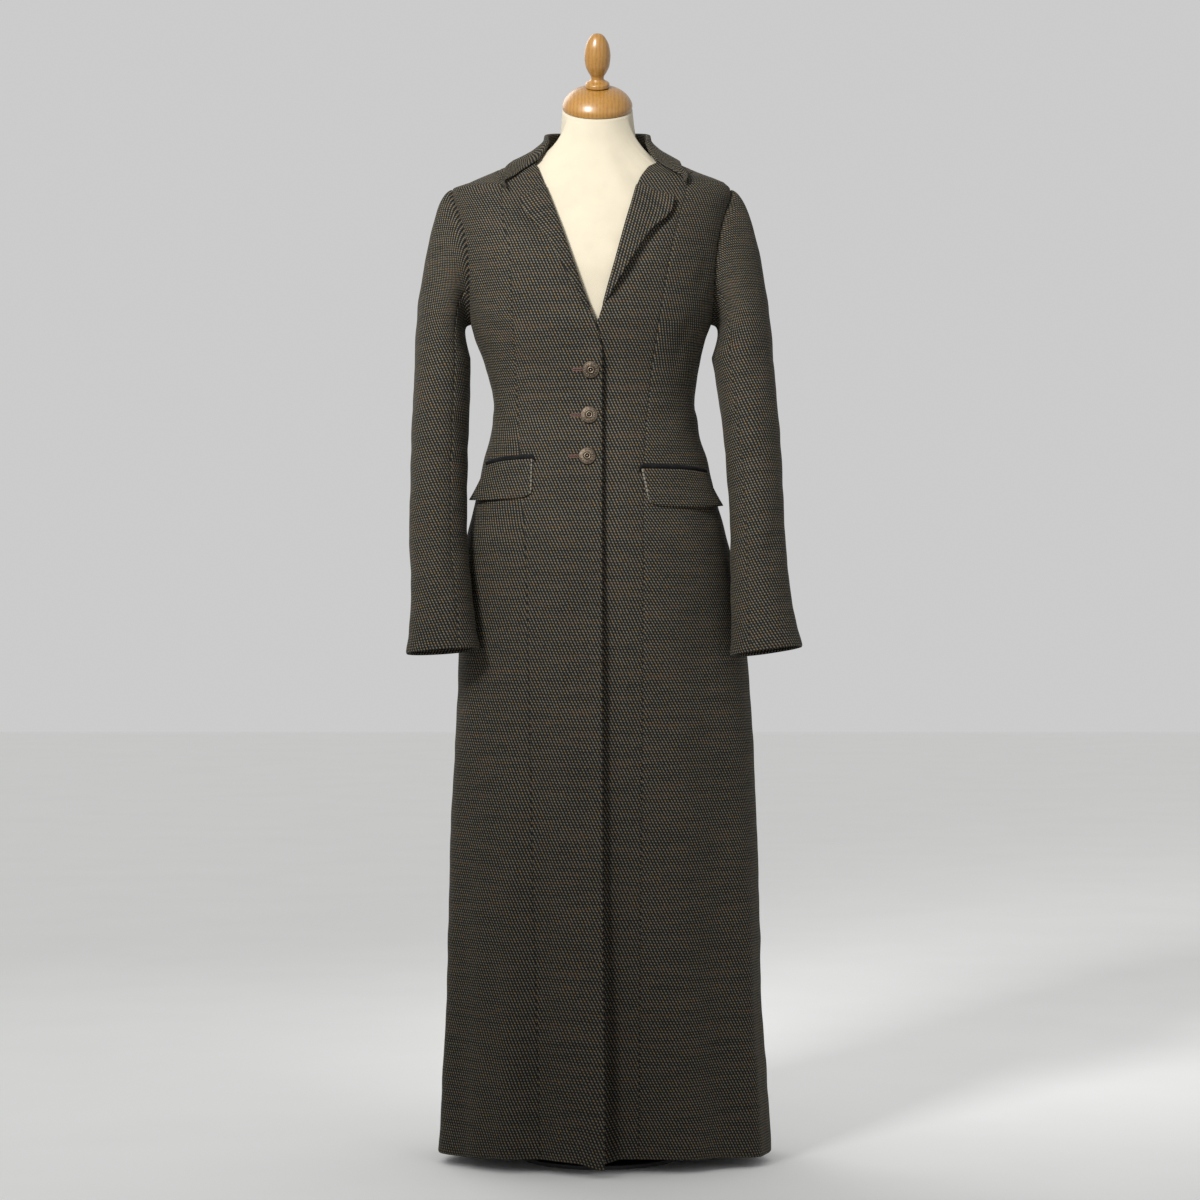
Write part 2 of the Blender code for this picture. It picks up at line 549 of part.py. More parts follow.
def main():
    for obj in list(bpy.data.objects):
        bpy.data.objects.remove(obj, do_unlink=True)
    bpy.context.scene.collection.children.link(bpy.data.collections.new("tweed_coat"))
    make_body()
    make_sleeves()
    make_lapels()
    make_collar()
    make_pockets()
    make_buttons()
    make_form()
    make_stand()


main()
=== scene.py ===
"""Looks of a tweed frock coat on its dress form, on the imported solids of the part.

Metres, +Z up. The coat faces -Y, and the wearer's right side is -X. Each cloth piece is
a fine closed sheet on the form of its solid, with the turned edges and creases of sewn tweed.
"""
from math import cos, pi, radians, sin

import bmesh
import bpy
import numpy as np
from bpy.props import FloatProperty, FloatVectorProperty, IntProperty, PointerProperty
from mathutils import Matrix, Vector


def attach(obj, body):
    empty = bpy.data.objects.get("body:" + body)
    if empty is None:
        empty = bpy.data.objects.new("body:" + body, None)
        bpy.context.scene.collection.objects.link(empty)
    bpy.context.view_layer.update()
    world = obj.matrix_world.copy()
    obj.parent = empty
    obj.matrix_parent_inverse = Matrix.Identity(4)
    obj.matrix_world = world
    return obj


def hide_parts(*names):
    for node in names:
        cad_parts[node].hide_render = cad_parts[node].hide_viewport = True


bl_info = {
    "name": "Tweed Coat on a Dress Form",
    "version": (1, 0, 0),
    "blender": (4, 5, 0),
    "location": "3D View > Sidebar > Coat",
    "description": "Dresses the packed solids of a tweed frock coat and its dress form",
    "category": "Object",
}

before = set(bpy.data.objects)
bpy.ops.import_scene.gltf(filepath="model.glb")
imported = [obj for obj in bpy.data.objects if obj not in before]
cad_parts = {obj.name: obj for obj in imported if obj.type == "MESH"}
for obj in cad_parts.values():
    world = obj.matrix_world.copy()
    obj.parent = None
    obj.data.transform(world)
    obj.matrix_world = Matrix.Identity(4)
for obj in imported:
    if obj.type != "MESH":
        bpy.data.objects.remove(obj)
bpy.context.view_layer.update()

CLOTH = 0.0022      # thickness of the tweed with its lining
LAYER = 0.0006      # between a piece and the panel it lies on
LAP = CLOTH + LAYER
ROUND = 0.9         # power on sine and cosine of each ring: a little squarer than an ellipse
HEM_FACING, EDGE_FACING, CUFF_FACING = 0.05, 0.07, 0.04     # depths of tweed inside
BODY_RADIUS, ARM_RADIUS = 0.135, 0.16   # metres round the body, and by the armhole, to a radian
SLEEVE_STEP = 0.017     # metres round a sleeve to one step
SEAM_GAP = 0.0004   # between the turned pieces of the form
PUCKER, PUCKER_WAVE, PUCKER_REACH = 0.00035, 0.022, 0.010   # small waves of the cloth along a seam

RINGS = (
    # height, right (-X), left (+X), front, back
    (0.014, 0.2160, 0.2330, 0.120, 0.170),
    (0.100, 0.2120, 0.2280, 0.118, 0.163),
    (0.220, 0.2055, 0.2205, 0.117, 0.155),
    (0.360, 0.2040, 0.2175, 0.117, 0.147),
    (0.500, 0.2005, 0.2115, 0.118, 0.139),
    (0.630, 0.1945, 0.2055, 0.119, 0.131),
    (0.700, 0.1920, 0.1990, 0.120, 0.127),
    (0.780, 0.1880, 0.1860, 0.121, 0.124),
    (0.845, 0.1820, 0.1730, 0.121, 0.122),
    (0.900, 0.1680, 0.1580, 0.116, 0.110),
    (0.952, 0.1580, 0.1450, 0.110, 0.095),
    (0.980, 0.1500, 0.1360, 0.107, 0.088),
    (1.007, 0.1455, 0.1320, 0.104, 0.083),
    (1.034, 0.1455, 0.1290, 0.103, 0.080),
    (1.061, 0.1500, 0.1310, 0.106, 0.083),
    (1.088, 0.1580, 0.1360, 0.111, 0.089),
    (1.1155, 0.1690, 0.1430, 0.118, 0.095),
    (1.140, 0.1760, 0.1520, 0.123, 0.099),
    (1.200, 0.1860, 0.1630, 0.126, 0.103),
    (1.250, 0.1920, 0.1690, 0.117, 0.106),
    (1.290, 0.1980, 0.1750, 0.098, 0.101),
    (1.310, 0.2010, 0.1780, 0.082, 0.093),
    (1.3195, 0.2000, 0.1770, 0.072, 0.088),
    (1.3277, 0.1795, 0.1700, 0.066, 0.084),
    (1.3386, 0.1550, 0.1414, 0.060, 0.079),
    (1.349, 0.1290, 0.1170, 0.056, 0.075),
    (1.360, 0.1050, 0.0950, 0.053, 0.072),
    (1.370, 0.0880, 0.0790, 0.051, 0.069),
    (1.385, 0.0730, 0.0660, 0.050, 0.066),
    (1.415, 0.0690, 0.0620, 0.049, 0.064),
)
FOLD_TOP = 0.80     # where the skirt's folds end
FOLDS = (
    # angle, half-width, swing at the hem
    (9.0, 8.0, -0.006), (-21.7, 7.0, -0.008), (-31.5, 7.0, 0.009),
    (27.0, 8.0, 0.009), (47.0, 9.0, -0.010), (60.0, 8.0, 0.009),
    (-62.0, 10.0, -0.007), (-80.0, 10.0, 0.005), (104.0, 10.0, -0.008), (124.0, 10.0, 0.008),
    (146.0, 10.0, -0.009), (165.0, 9.0, 0.008), (-108.0, 11.0, -0.008), (-130.0, 10.0, 0.009),
    (-150.0, 10.0, -0.008), (-169.0, 9.0, 0.007),
)
KICK = (0.0, 9.0, 0.026)    # the lapped corner of the hem, in the same terms
# Angle, height.
HEM = ((-180.0, 0.014), (-70.0, 0.014), (-25.0, 0.019), (-6.0, 0.018), (0.5, 0.012),
       (6.0, 0.020), (30.0, 0.019), (70.0, 0.014), (180.0, 0.014))
# Front edges and princess seams: height, x.
EDGE_RIGHT = ((0.014, 0.003), (1.090, 0.003), (1.126, -0.004), (1.180, -0.024), (1.250, -0.048),
              (1.300, -0.066), (1.330, -0.078), (1.356, -0.088))
EDGE_LEFT = ((0.014, -0.037), (1.060, -0.037), (1.105, -0.022), (1.126, -0.006), (1.200, 0.0157),
             (1.300, 0.0433), (1.330, 0.0540), (1.356, 0.0740))
PRINCESS_RIGHT = ((0.014, -0.084), (0.500, -0.092), (0.800, -0.098), (1.034, -0.112),
                  (1.235, -0.121), (1.266, -0.129), (1.310, -0.131), (1.345, -0.1305))
PRINCESS_LEFT = ((0.014, 0.053), (0.630, 0.057), (0.940, 0.059), (1.034, 0.066),
                 (1.190, 0.0885), (1.266, 0.104), (1.310, 0.115), (1.345, 0.118))
# Angle, height.
NECKLINE = ((40.0, 1.345), (62.0, 1.356), (78.0, 1.367), (90.0, 1.374), (135.0, 1.372), (180.0, 1.371))
NECK_BACK, FRONT_TOP, PRINCESS_TOP = 1.371, 1.367, 1.349
UNDER_COLLAR = (1.350, 1.356)   # where the fronts' edges turn back under the collar
UNDERARM, SHOULDER_TIP = 1.135, 1.3195
ARM_FRONT, ARM_BACK = radians(21.0), radians(30.0)
ARM_ROWS = (1.139, 1.152, 1.178, 1.206, 1.234, 1.262, 1.288, 1.308)
SLEEVE_TOP, CUFF = 1.090, 0.694
SLEEVES = {
    "right": (
        # height, x, y, half-width, half-depth
        (0.694, -0.2095, -0.094, 0.0465, 0.044), (0.730, -0.2105, -0.086, 0.0435, 0.045),
        (0.780, -0.2125, -0.074, 0.0405, 0.047), (0.870, -0.2176, -0.050, 0.0385, 0.050),
        (0.952, -0.2170, -0.030, 0.0385, 0.053), (1.034, -0.2150, -0.014, 0.0385, 0.057),
        (1.090, -0.2135, -0.004, 0.0385, 0.060),
    ),
    "left": (
        (0.694, 0.2220, -0.090, 0.0460, 0.044), (0.730, 0.2185, -0.084, 0.0430, 0.045),
        (0.780, 0.2140, -0.072, 0.0395, 0.047), (0.870, 0.2115, -0.050, 0.0365, 0.050),
        (0.952, 0.2067, -0.030, 0.0380, 0.053), (1.034, 0.2006, -0.014, 0.0400, 0.057),
        (1.090, 0.1940, -0.004, 0.0415, 0.060),
    ),
}
CUFF_SLOPE = {"right": 0.073, "left": 0.134}
CUFF_DIP = 0.10
SEAM_FRONT, SEAM_BACK = 6.0, 12.0   # steps round from the shoulder
# Height, x of the roll, x of the outer edge.
LAPEL_RIGHT = ((1.140, -0.0092, -0.0135), (1.171, -0.0207, -0.0290), (1.210, -0.0343, -0.0500),
               (1.250, -0.0480, -0.0725), (1.285, -0.0606, -0.0940), (1.318, -0.0730, -0.1050))
LAPEL_LEFT = ((1.155, 0.0033, 0.0070), (1.180, 0.0100, 0.0200), (1.210, 0.0185, 0.0380),
              (1.250, 0.0295, 0.0640), (1.285, 0.0392, 0.0890), (1.318, 0.0482, 0.0990))
LAPEL_DROP = 0.022
COLLAR = (
    # angle, fold height, leaf edge height, leaf edge angle, leaf edge lift
    (41.0, 1.353, 1.3140, 35.0, 0.0062), (50.0, 1.366, 1.3335, 44.0, 0.0052),
    (62.0, 1.379, 1.3455, 58.0, 0.0046), (75.0, 1.388, 1.3515, 73.0, 0.0043),
    (90.0, 1.394, 1.3540, 90.0, 0.0043), (135.0, 1.402, 1.3480, 135.0, 0.0043),
    (180.0, 1.405, 1.3430, 180.0, 0.0043),
)
COLLAR_TURN = 0.0032
FLAPS = {
    "right": dict(front=(-0.0895, -0.0900), side=(-0.1520, -0.1655), top=(0.9510, 0.9430),
                  bottom=(0.9000, 0.8945), spring=0.0085),
    "left": dict(front=(0.0545, 0.0650), side=(0.1420, 0.1575), top=(0.9375, 0.9330),
                 bottom=(0.8880, 0.8870), spring=0.0065),
}
WELT_HEIGHT = 0.0070
POCKET_ARCH = 0.0016
# x, z of each button.
BUTTONS = ((-0.0120, 1.0694), (-0.0140, 1.0083), (-0.0166, 0.9533))
BUTTON_PROFILE = (
    # radius, height: dimpled boss, groove, domed field, rolled rim
    (0.0000, 0.0052), (0.0007, 0.0050), (0.0013, 0.0041), (0.0019, 0.0038), (0.0025, 0.0043),
    (0.0031, 0.0055), (0.0036, 0.0058), (0.0041, 0.0055), (0.0046, 0.0043), (0.0051, 0.0037),
    (0.0057, 0.0038), (0.0070, 0.0036), (0.0085, 0.0032), (0.0098, 0.0028), (0.0107, 0.0026),
    (0.0113, 0.0021), (0.0115, 0.0014), (0.0112, 0.0006), (0.0106, 0.0000), (0.0000, 0.0000),
)
STITCH = (0.55, 0.9, 1.2)   # shape of one purl stitch: along, across, up
# Height, room between cloth and form.
EASE = ((0.80, 0.0060), (1.25, 0.0060), (1.30, 0.0042), (1.3195, 0.0034), (1.345, 0.0034), (1.37, 0.0055))
TORSO_FOOT, TORSO_TOP = 0.80, 1.357
NECK_RINGS = (
    # x, y, z of the centre, radius, tilt forward in degrees
    (-0.002, 0.004, 1.376, 0.0560, 8.0),
    (-0.003, -0.002, 1.398, 0.0505, 16.0),
    (-0.0035, -0.008, 1.4265, 0.0475, 24.0),
)
# Turned pieces: radius, height.
CAP_PROFILE = ((0.0, 0.0310), (0.0160, 0.0305), (0.0280, 0.0275), (0.0380, 0.0215), (0.0450, 0.0130),
               (0.0475, 0.0060), (0.0470, 0.0015), (0.0455, 0.0), (0.0, 0.0))
FINIAL_PROFILE = ((0.0, 0.0740), (0.0060, 0.0725), (0.0115, 0.0665), (0.0160, 0.0560), (0.0177, 0.0435),
                  (0.0165, 0.0310), (0.0125, 0.0210), (0.0090, 0.0150), (0.0086, 0.0120), (0.0105, 0.0092),
                  (0.0145, 0.0068), (0.0163, 0.0048), (0.0165, 0.0015), (0.0155, 0.0), (0.0, 0.0))
STAND_Y = 0.030
BASE_PROFILE = ((0.0, 0.0420), (0.0165, 0.0420), (0.0200, 0.0330), (0.0400, 0.0190), (0.0800, 0.0095),
                (0.1070, 0.0065), (0.1100, 0.0045), (0.1100, 0.0), (0.0, 0.0))
POLE_RADIUS = 0.0125
LIGHTS = (
    # name, place, aim, size, power, beam in degrees
    ("key_softbox", (-1.4, -2.5, 2.45), (-0.01, -0.1, 1.24), 0.7, 6.4, 34.0),
    ("fill_softbox", (2.6, -2.8, 1.9), (0.0, 0.0, 1.25), 1.8, 1.1, 60.0),
    ("back_softbox", (-1.6, 2.6, 2.7), (0.0, 0.0, 0.8), 2.0, 5.6, 78.0),
)

# Creases of the body: angle and height of both ends, half-width, depth (a trough is negative).
CREASES = (
    (-12.0, 1.062, -46.0, 1.088, 0.010, -0.0016), (-13.0, 1.003, -52.0, 1.020, 0.010, -0.0018),
    (-14.0, 0.950, -40.0, 0.972, 0.009, -0.0012), (10.0, 1.058, 42.0, 1.076, 0.011, -0.0015),
    (12.0, 1.000, 50.0, 1.006, 0.012, -0.0018), (-52.0, 1.150, -40.0, 1.060, 0.014, -0.0016),
    (54.0, 1.150, 44.0, 1.055, 0.014, -0.0016), (-62.0, 1.230, -50.0, 1.160, 0.013, -0.0022),
    (62.0, 1.235, 52.0, 1.170, 0.013, -0.0020), (-74.0, 1.030, -100.0, 1.020, 0.012, -0.0020),
    (72.0, 1.036, 98.0, 1.018, 0.012, -0.0020), (128.0, 1.026, 176.0, 1.012, 0.013, -0.0022),
    (-126.0, 1.020, -174.0, 1.030, 0.013, -0.0022), (122.0, 1.250, 140.0, 1.120, 0.016, -0.0024),
    (-122.0, 1.246, -142.0, 1.110, 0.016, -0.0024), (-20.0, 0.820, -24.0, 0.420, 0.020, -0.0020),
    (26.0, 0.850, 30.0, 0.380, 0.022, 0.0020), (40.0, 0.840, 46.0, 0.300, 0.022, -0.0026),
    (-48.0, 0.860, -56.0, 0.340, 0.022, -0.0022), (150.0, 0.860, 146.0, 0.080, 0.026, -0.0060),
    (-156.0, 0.880, -150.0, 0.100, 0.026, -0.0058), (104.0, 0.840, 106.0, 0.120, 0.024, -0.0046),
    (-106.0, 0.850, -110.0, 0.140, 0.024, -0.0048), (126.0, 0.760, 124.0, 0.060, 0.026, 0.0044),
    (-128.0, 0.780, -130.0, 0.080, 0.026, 0.0046), (172.0, 0.740, 168.0, 0.060, 0.028, 0.0048),
    (-174.0, 0.700, -170.0, 0.120, 0.024, 0.0030), (112.0, 0.960, 150.0, 0.985, 0.012, -0.0026),
    (-112.0, 0.955, -146.0, 0.975, 0.012, -0.0026), (132.0, 1.075, 168.0, 1.055, 0.012, -0.0024),
    (-132.0, 1.070, -166.0, 1.060, 0.012, -0.0024),
    # shadow lines along the outer edges of the lapels
    (-32.5, 1.312, -7.5, 1.150, 0.0065, -0.0032), (35.0, 1.312, 5.5, 1.158, 0.0065, -0.0032),
)
# Creases of a sleeve: steps round from the shoulder and height of both ends, half-width, depth.
SLEEVE_CREASES = (
    (3.0, 0.965, 8.5, 0.935, 0.010, -0.0030), (4.0, 0.925, 9.0, 0.905, 0.009, -0.0024),
    (5.2, 1.010, 9.0, 0.985, 0.010, -0.0022), (2.4, 1.120, 5.0, 1.020, 0.015, -0.0020),
    (14.5, 1.120, 12.5, 0.990, 0.016, -0.0024), (15.5, 0.980, 12.0, 0.950, 0.012, -0.0022),
    (1.5, 0.900, 4.5, 0.780, 0.014, -0.0020), (16.6, 0.860, 15.4, 0.740, 0.013, -0.0022),
    (6.5, 0.860, 4.5, 0.740, 0.014, -0.0018), (17.0, 1.180, 16.0, 1.060, 0.016, -0.0018),
)


def linear(code):
    """Linear colour of an sRGB hex value."""
    parts = [int(code[i:i + 2], 16) / 255 for i in (1, 3, 5)]
    return tuple(c / 12.92 if c <= 0.04045 else ((c + 0.055) / 1.055) ** 2.4 for c in parts)


def colour(name, code, description):
    return FloatVectorProperty(name=name, description=description, subtype="COLOR", size=3,
                               min=0.0, max=1.0, default=linear(code))


def metres(name, default, description, **limits):
    return FloatProperty(name=name, description=description, unit="LENGTH", default=default, **limits)


class CoatSettings(bpy.types.PropertyGroup):
    """Cloth, weave and trim of the coat."""
    mesh_step: metres("Mesh step", 0.0055, "Spacing of the cloth's mesh", min=0.003, max=0.02)
    twill_width: metres("Twill width", 0.0043, "Width of one twill line, measured level", min=0.001, max=0.02)
    twill_angle: FloatProperty(name="Twill angle", subtype="ANGLE", default=radians(66.0),
                               description="Slope of the twill lines, down to the left side")
    pick_height: metres("Pick height", 0.0036, "Height of one light float of the weft", min=0.001, max=0.02)
    dark_yarn: colour("Dark yarn", "#090b0f", "Charcoal ground of the tweed")
    olive_yarn: colour("Olive yarn", "#1d1e1a", "Olive brown of the tweed")
    tan_yarn: colour("Tan yarn", "#645f52", "Light floats of the tweed")
    gold_yarn: colour("Gold yarn", "#745f3a", "Gold floats of the tweed")
    rust_yarn: colour("Rust yarn", "#583b28", "Rust flecks of the tweed")
    lining: colour("Lining", "#171a26", "Satin lining")
    velvet: colour("Velvet", "#0e0e0f", "Velvet of the pocket welts")
    edge_tape: colour("Edge tape", "#7d776a", "Pale tape along the front edge of each flap")
    thread: colour("Buttonhole thread", "#6b4636", "Twist of the buttonholes")
    pewter: colour("Pewter", "#8f8371", "Raised metal of the buttons")
    patina: colour("Patina", "#3a3029", "Dark metal in the buttons' hollows")


class FormSettings(bpy.types.PropertyGroup):
    """Dress form and its stand."""
    cotton: colour("Cotton", "#b9b09b", "Cover of the form")
    wood: colour("Wood", "#9a6f2e", "Varnished beech, lighter grain")
    grain: colour("Grain", "#895f27", "Varnished beech, darker grain")
    iron: colour("Iron", "#1c1c1e", "Black stove enamel of the stand")
    turning_steps: IntProperty(name="Turning steps", description="Facets round turned pieces", default=96,
                               min=24, max=256)


class StageSettings(bpy.types.PropertyGroup):
    """Camera and light."""
    distance: metres("Camera distance", 4.5, "From the camera to the middle of the coat")
    eye_height: metres("Camera height", 0.80, "Height of the lens")
    aim_height: metres("Aim height", 0.762, "Height the camera looks at")
    view_width: metres("View width", 1.632, "Breadth of the picture at the coat")
    floor: colour("Floor", "#fafaf9", "Pale studio floor")


def smooth(points, column=1):
    """Function running smoothly, with no overshoot, through one column of a table."""
    xs = np.array([row[0] for row in points], float)
    ys = np.array([row[column] for row in points], float)
    step = np.diff(xs)
    rise = np.diff(ys) / step
    product, total = rise[:-1] * rise[1:], rise[:-1] + rise[1:]
    inner = np.where(product > 0, 2 * product / np.where(product > 0, total, 1.0), 0.0)
    slope = np.concatenate(([rise[0]], inner, [rise[-1]]))

    def at(x):
        x = np.clip(x, xs[0], xs[-1])
        i = np.clip(np.searchsorted(xs, x, side="right") - 1, 0, len(step) - 1)
        t = (x - xs[i]) / step[i]
        bend = slope[i] * t * (1 - t) ** 2 - slope[i + 1] * t * t * (1 - t)
        return ys[i] * (1 + 2 * t) * (1 - t) ** 2 + ys[i + 1] * t * t * (3 - 2 * t) + step[i] * bend

    return at


half_right, half_left, depth_front, depth_back = (smooth(RINGS, column) for column in (1, 2, 3, 4))
hem_height = smooth(HEM)
neckline = smooth(NECKLINE)
form_ease = smooth(EASE)


def fade(x, low, high):
    """0 at low, 1 at high, easing in and out."""
    t = np.clip((x - low) / (high - low), 0.0, 1.0)
    return t * t * (3 - 2 * t)


def hang(z):
    """1 at the hem, 0 where the skirt's folds end."""
    return (1 - fade(z, RINGS[0][0], FOLD_TOP)) ** 1.4


def folds(z, angle):
    """How far the skirt's hanging folds stand out at a height and angle."""
    degrees = np.degrees(np.arctan2(np.sin(angle), np.cos(angle)))
    total = np.zeros(np.broadcast(z, angle).shape)
    for middle, half, swing in FOLDS:
        off = (degrees - middle + 180.0) % 360.0 - 180.0
        total = total + swing * np.exp(-((off / half) ** 2))
    return total * hang(z)


def ring(z, angle):
    """Point of the coat's outer face; angle 0 is the middle of the front, +90 degrees is +X."""
    s, c = np.sin(angle), np.cos(angle)
    x = np.where(s < 0, half_right(z), half_left(z)) * np.sign(s) * np.abs(s) ** ROUND
    y = -np.where(c > 0, depth_front(z), depth_back(z)) * np.sign(c) * np.abs(c) ** ROUND
    spread = 1 + folds(z, angle) / np.hypot(x, y)
    return np.stack([x * spread, y * spread, z + 0.0 * angle], axis=-1)


def unit(vectors):
    return vectors / np.linalg.norm(vectors, axis=-1, keepdims=True)


def normal(z, angle):
    """Outward direction of the coat's outer face."""
    across = ring(z, angle + 0.02) - ring(z, angle - 0.02)
    up = ring(z + 0.003, angle) - ring(z - 0.003, angle)
    return unit(np.cross(across, up))


def skin(z, angle, lift):
    """Point standing a given distance off the coat's outer face."""
    return ring(z, angle) + np.expand_dims(lift + 0.0 * angle, -1) * normal(z, angle)


def angle_at(x, z):
    """Angle of the front half of a ring at which it reaches x."""
    width = np.where(x < 0, half_right(z), half_left(z))
    return np.sign(x) * np.arcsin(np.clip(np.abs(x) / width, 0, 1) ** (1 / ROUND))


def between(first, last, z, u):
    """Angles from one x to another along a ring, u running 0 to 1."""
    start = angle_at(first + 0 * z, z)
    return start + (angle_at(last + 0 * z, z) - start) * u


def front_lap(z, angle):
    """Lift of the right front where it lies over the left front, and its corner's swing."""
    x = ring(z, angle)[..., 0]
    middle, half, swing = KICK
    kick = swing * np.exp(-(((np.degrees(angle) - middle) / half) ** 2)) * hang(z) ** 2
    return (LAP + 0.0012 * hang(z)) * fade(x, -0.080, -0.050) * (1 - fade(z, 1.130, 1.165)) + kick


def no_lap(z, angle):
    """Lift of a piece that lies over nothing."""
    return 0.0


def over_edge(z, angle):
    """Lift of the right front, with its edge rolling off the left front."""
    reach = np.clip(smooth(EDGE_RIGHT)(z) - ring(z, angle)[..., 0], 0, None)
    roll = 0.0036 * (1 - fade(z, 1.07, 1.13)) + 0.0020 * (1 - fade(z, 0.70, 0.93))
    return front_lap(z, angle) + roll * np.exp(-((reach / 0.016) ** 2))


def under_edge(z, angle):
    """Sinking of the left front along the edge that laps it, deeper below the form."""
    off = ring(z, angle)[..., 0] - 0.010
    depth = 0.0046 * (1 - fade(z, 1.06, 1.12)) + 0.0040 * (1 - fade(z, 0.62, 0.78))
    return -depth * np.exp(-((off / 0.012) ** 2))


def armhole(z):
    """Angles from the middle of the side to the front and back edges of the armhole."""
    rise = np.clip((z - UNDERARM) / (SHOULDER_TIP - UNDERARM), 0, 1)
    opening = np.sin(pi * rise) ** 0.6
    return ARM_FRONT * opening, ARM_BACK * opening


def uneven(points, wavelength, seed):
    """Slow irregular swell, about -1 to 1, from a few crossing waves with a fixed seed."""
    dice = np.random.default_rng(seed)
    total = np.zeros(points.shape[:-1])
    for _ in range(7):
        way = unit(dice.normal(size=3)) * 2 * pi / (wavelength * dice.uniform(0.7, 1.6))
        total += np.sin(points @ way + dice.uniform(0, 2 * pi))
    return total / 4


def crease(across, along, ends, half, depth):
    """Soft trough or ridge along a line, dying out towards its ends; all in metres."""
    (a0, b0), (a1, b1) = ends
    da, db = a1 - a0, b1 - b0
    span = da * da + db * db
    t = ((across - a0) * da + (along - b0) * db) / span
    off = np.abs((across - a0) * db - (along - b0) * da) / np.sqrt(span)
    ends_off = np.clip(np.abs(t - 0.5) * 2, 0, 1.6)
    return depth * np.exp(-((off / half) ** 2)) * np.clip(1 - ends_off ** 2, 0, 1)


def body_creases(z, angle):
    """Creases drawn on the coat's body, with a slow unevenness over all of it."""
    points = ring(z, angle)
    degrees = np.degrees(angle)
    total = 0.0010 * uneven(points, 0.11, 3) + 0.0005 * uneven(points, 0.045, 8)
    for a0, z0, a1, z1, half, depth in CREASES:
        scale = radians(1.0) * BODY_RADIUS
        total = total + crease(degrees * scale, z, ((a0 * scale, z0), (a1 * scale, z1)), half, depth)
    # The cloth lies calm along the armholes.
    ahead, behind = armhole(z)
    off = np.abs(angle) - pi / 2
    away = 0.15 * np.where(off < 0, -off - ahead, off - behind)
    near = fade(z, UNDERARM - 0.03, UNDERARM) * (1 - fade(z, SHOULDER_TIP, SHOULDER_TIP + 0.02))
    return total * (1 - near * (1 - fade(away, 0.0, 0.02)))


def turn_in(distance, depth=0.0011, reach=0.0036):
    """How far the face of a sewn edge rolls in towards its seam."""
    return depth * (1 - np.clip(distance / reach, 0, 1)) ** 2


def places(width, step):
    """Places across a piece, 0 to 1, crowded at both edges where the cloth turns in."""
    near = np.array([0.0, 0.0005, 0.0013, 0.0025]) / width
    middle = np.linspace(0.0042 / width, 1 - 0.0042 / width, max(2, round(width / step)))
    return np.concatenate([near, middle, 1 - near[::-1]])


def lengths(points, axis):
    """Running length along one axis of a grid of points."""
    steps = np.linalg.norm(np.diff(points, axis=axis), axis=-1)
    start = np.zeros_like(np.take(steps, [0], axis=axis))
    return np.concatenate([start, np.cumsum(steps, axis=axis)], axis=axis)


def spans(spots):
    """Running lengths across and down a grid of points, and how far each is from the nearest edge."""
    run, drop = lengths(spots, 1), lengths(spots, 0)
    edge = np.minimum(np.minimum(run, run[:, -1:] - run), np.minimum(drop, drop[-1:] - drop))
    return run, drop, edge


def add_object(name, mesh, node):
    """Put a finished mesh in the scene, in place of its solid if it has one."""
    obj = bpy.data.objects.new(name, mesh)
    bpy.context.scene.collection.objects.link(obj)
    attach(obj, "root")
    if node:
        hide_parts(node)
    return obj


def sheet_mesh(name, face, back, uv, materials, faced):
    """Closed sheet from the grids of its face and back; second material on the back where it isn't faced."""
    rows, cols = face.shape[:2]
    index = np.arange(rows * cols).reshape(rows, cols)
    quads = np.stack([index[:-1, :-1], index[:-1, 1:], index[1:, 1:], index[1:, :-1]], -1).reshape(-1, 4)
    rim = np.concatenate([index[0, :], index[1:, -1], index[-1, -2::-1], index[-2:0:-1, 0]])
    after = np.roll(rim, -1)
    shift = rows * cols
    edges = np.stack([after, rim, rim + shift, after + shift], -1)
    faces = np.concatenate([quads, quads[:, ::-1] + shift, edges])
    corner = face[rows // 2, cols // 2]
    way = np.cross(face[rows // 2, cols // 2 + 1] - corner, face[rows // 2 + 1, cols // 2] - corner)
    if way @ (corner - back[rows // 2, cols // 2]) < 0:
        faces = faces[:, ::-1]
    mesh = bpy.data.meshes.new(name)
    mesh.from_pydata(np.concatenate([face.reshape(-1, 3), back.reshape(-1, 3)]).tolist(), [], faces.tolist())
    layer = mesh.uv_layers.new(name="cut")
    flat = np.tile(uv.reshape(-1, 2), (2, 1))
    layer.uv.foreach_set("vector", flat[faces.reshape(-1)].astype(np.float32).ravel())
    side = np.zeros(len(faces), np.int32)
    side[len(quads):2 * len(quads)] = np.where(np.broadcast_to(faced, (rows, cols))[:-1, :-1].ravel(), 0, 1)
    mesh.polygons.foreach_set("material_index", side)
    for material in materials:
        mesh.materials.append(material)
    mesh.shade_smooth()
    mesh.validate()
    return mesh


def sew(name, face, back, uv, materials, faced=False):
    """Make one cut piece of the coat; faced marks where tweed lines it."""
    obj = add_object(name + "_cloth", sheet_mesh(name, face, back, uv, materials, faced), name)
    return obj


def add(tree, kind, inputs=(), **settings):
    """Add a node, set its properties and fill or link its inputs."""
    node = tree.nodes.new(kind)
    for key, value in settings.items():
        setattr(node, key, value)
    for key, value in dict(inputs).items():
        if isinstance(value, bpy.types.NodeSocket):
            tree.links.new(value, node.inputs[key])
        else:
            node.inputs[key].default_value = value
    return node


def maths(tree, operation, *values):
    """Result of a math node."""
    return add(tree, "ShaderNodeMath", enumerate(values), operation=operation).outputs[0]


def moved(tree, vector, **settings):
    """Coordinates turned or stretched."""
    return add(tree, "ShaderNodeMapping", {"Vector": vector, **settings}).outputs["Vector"]


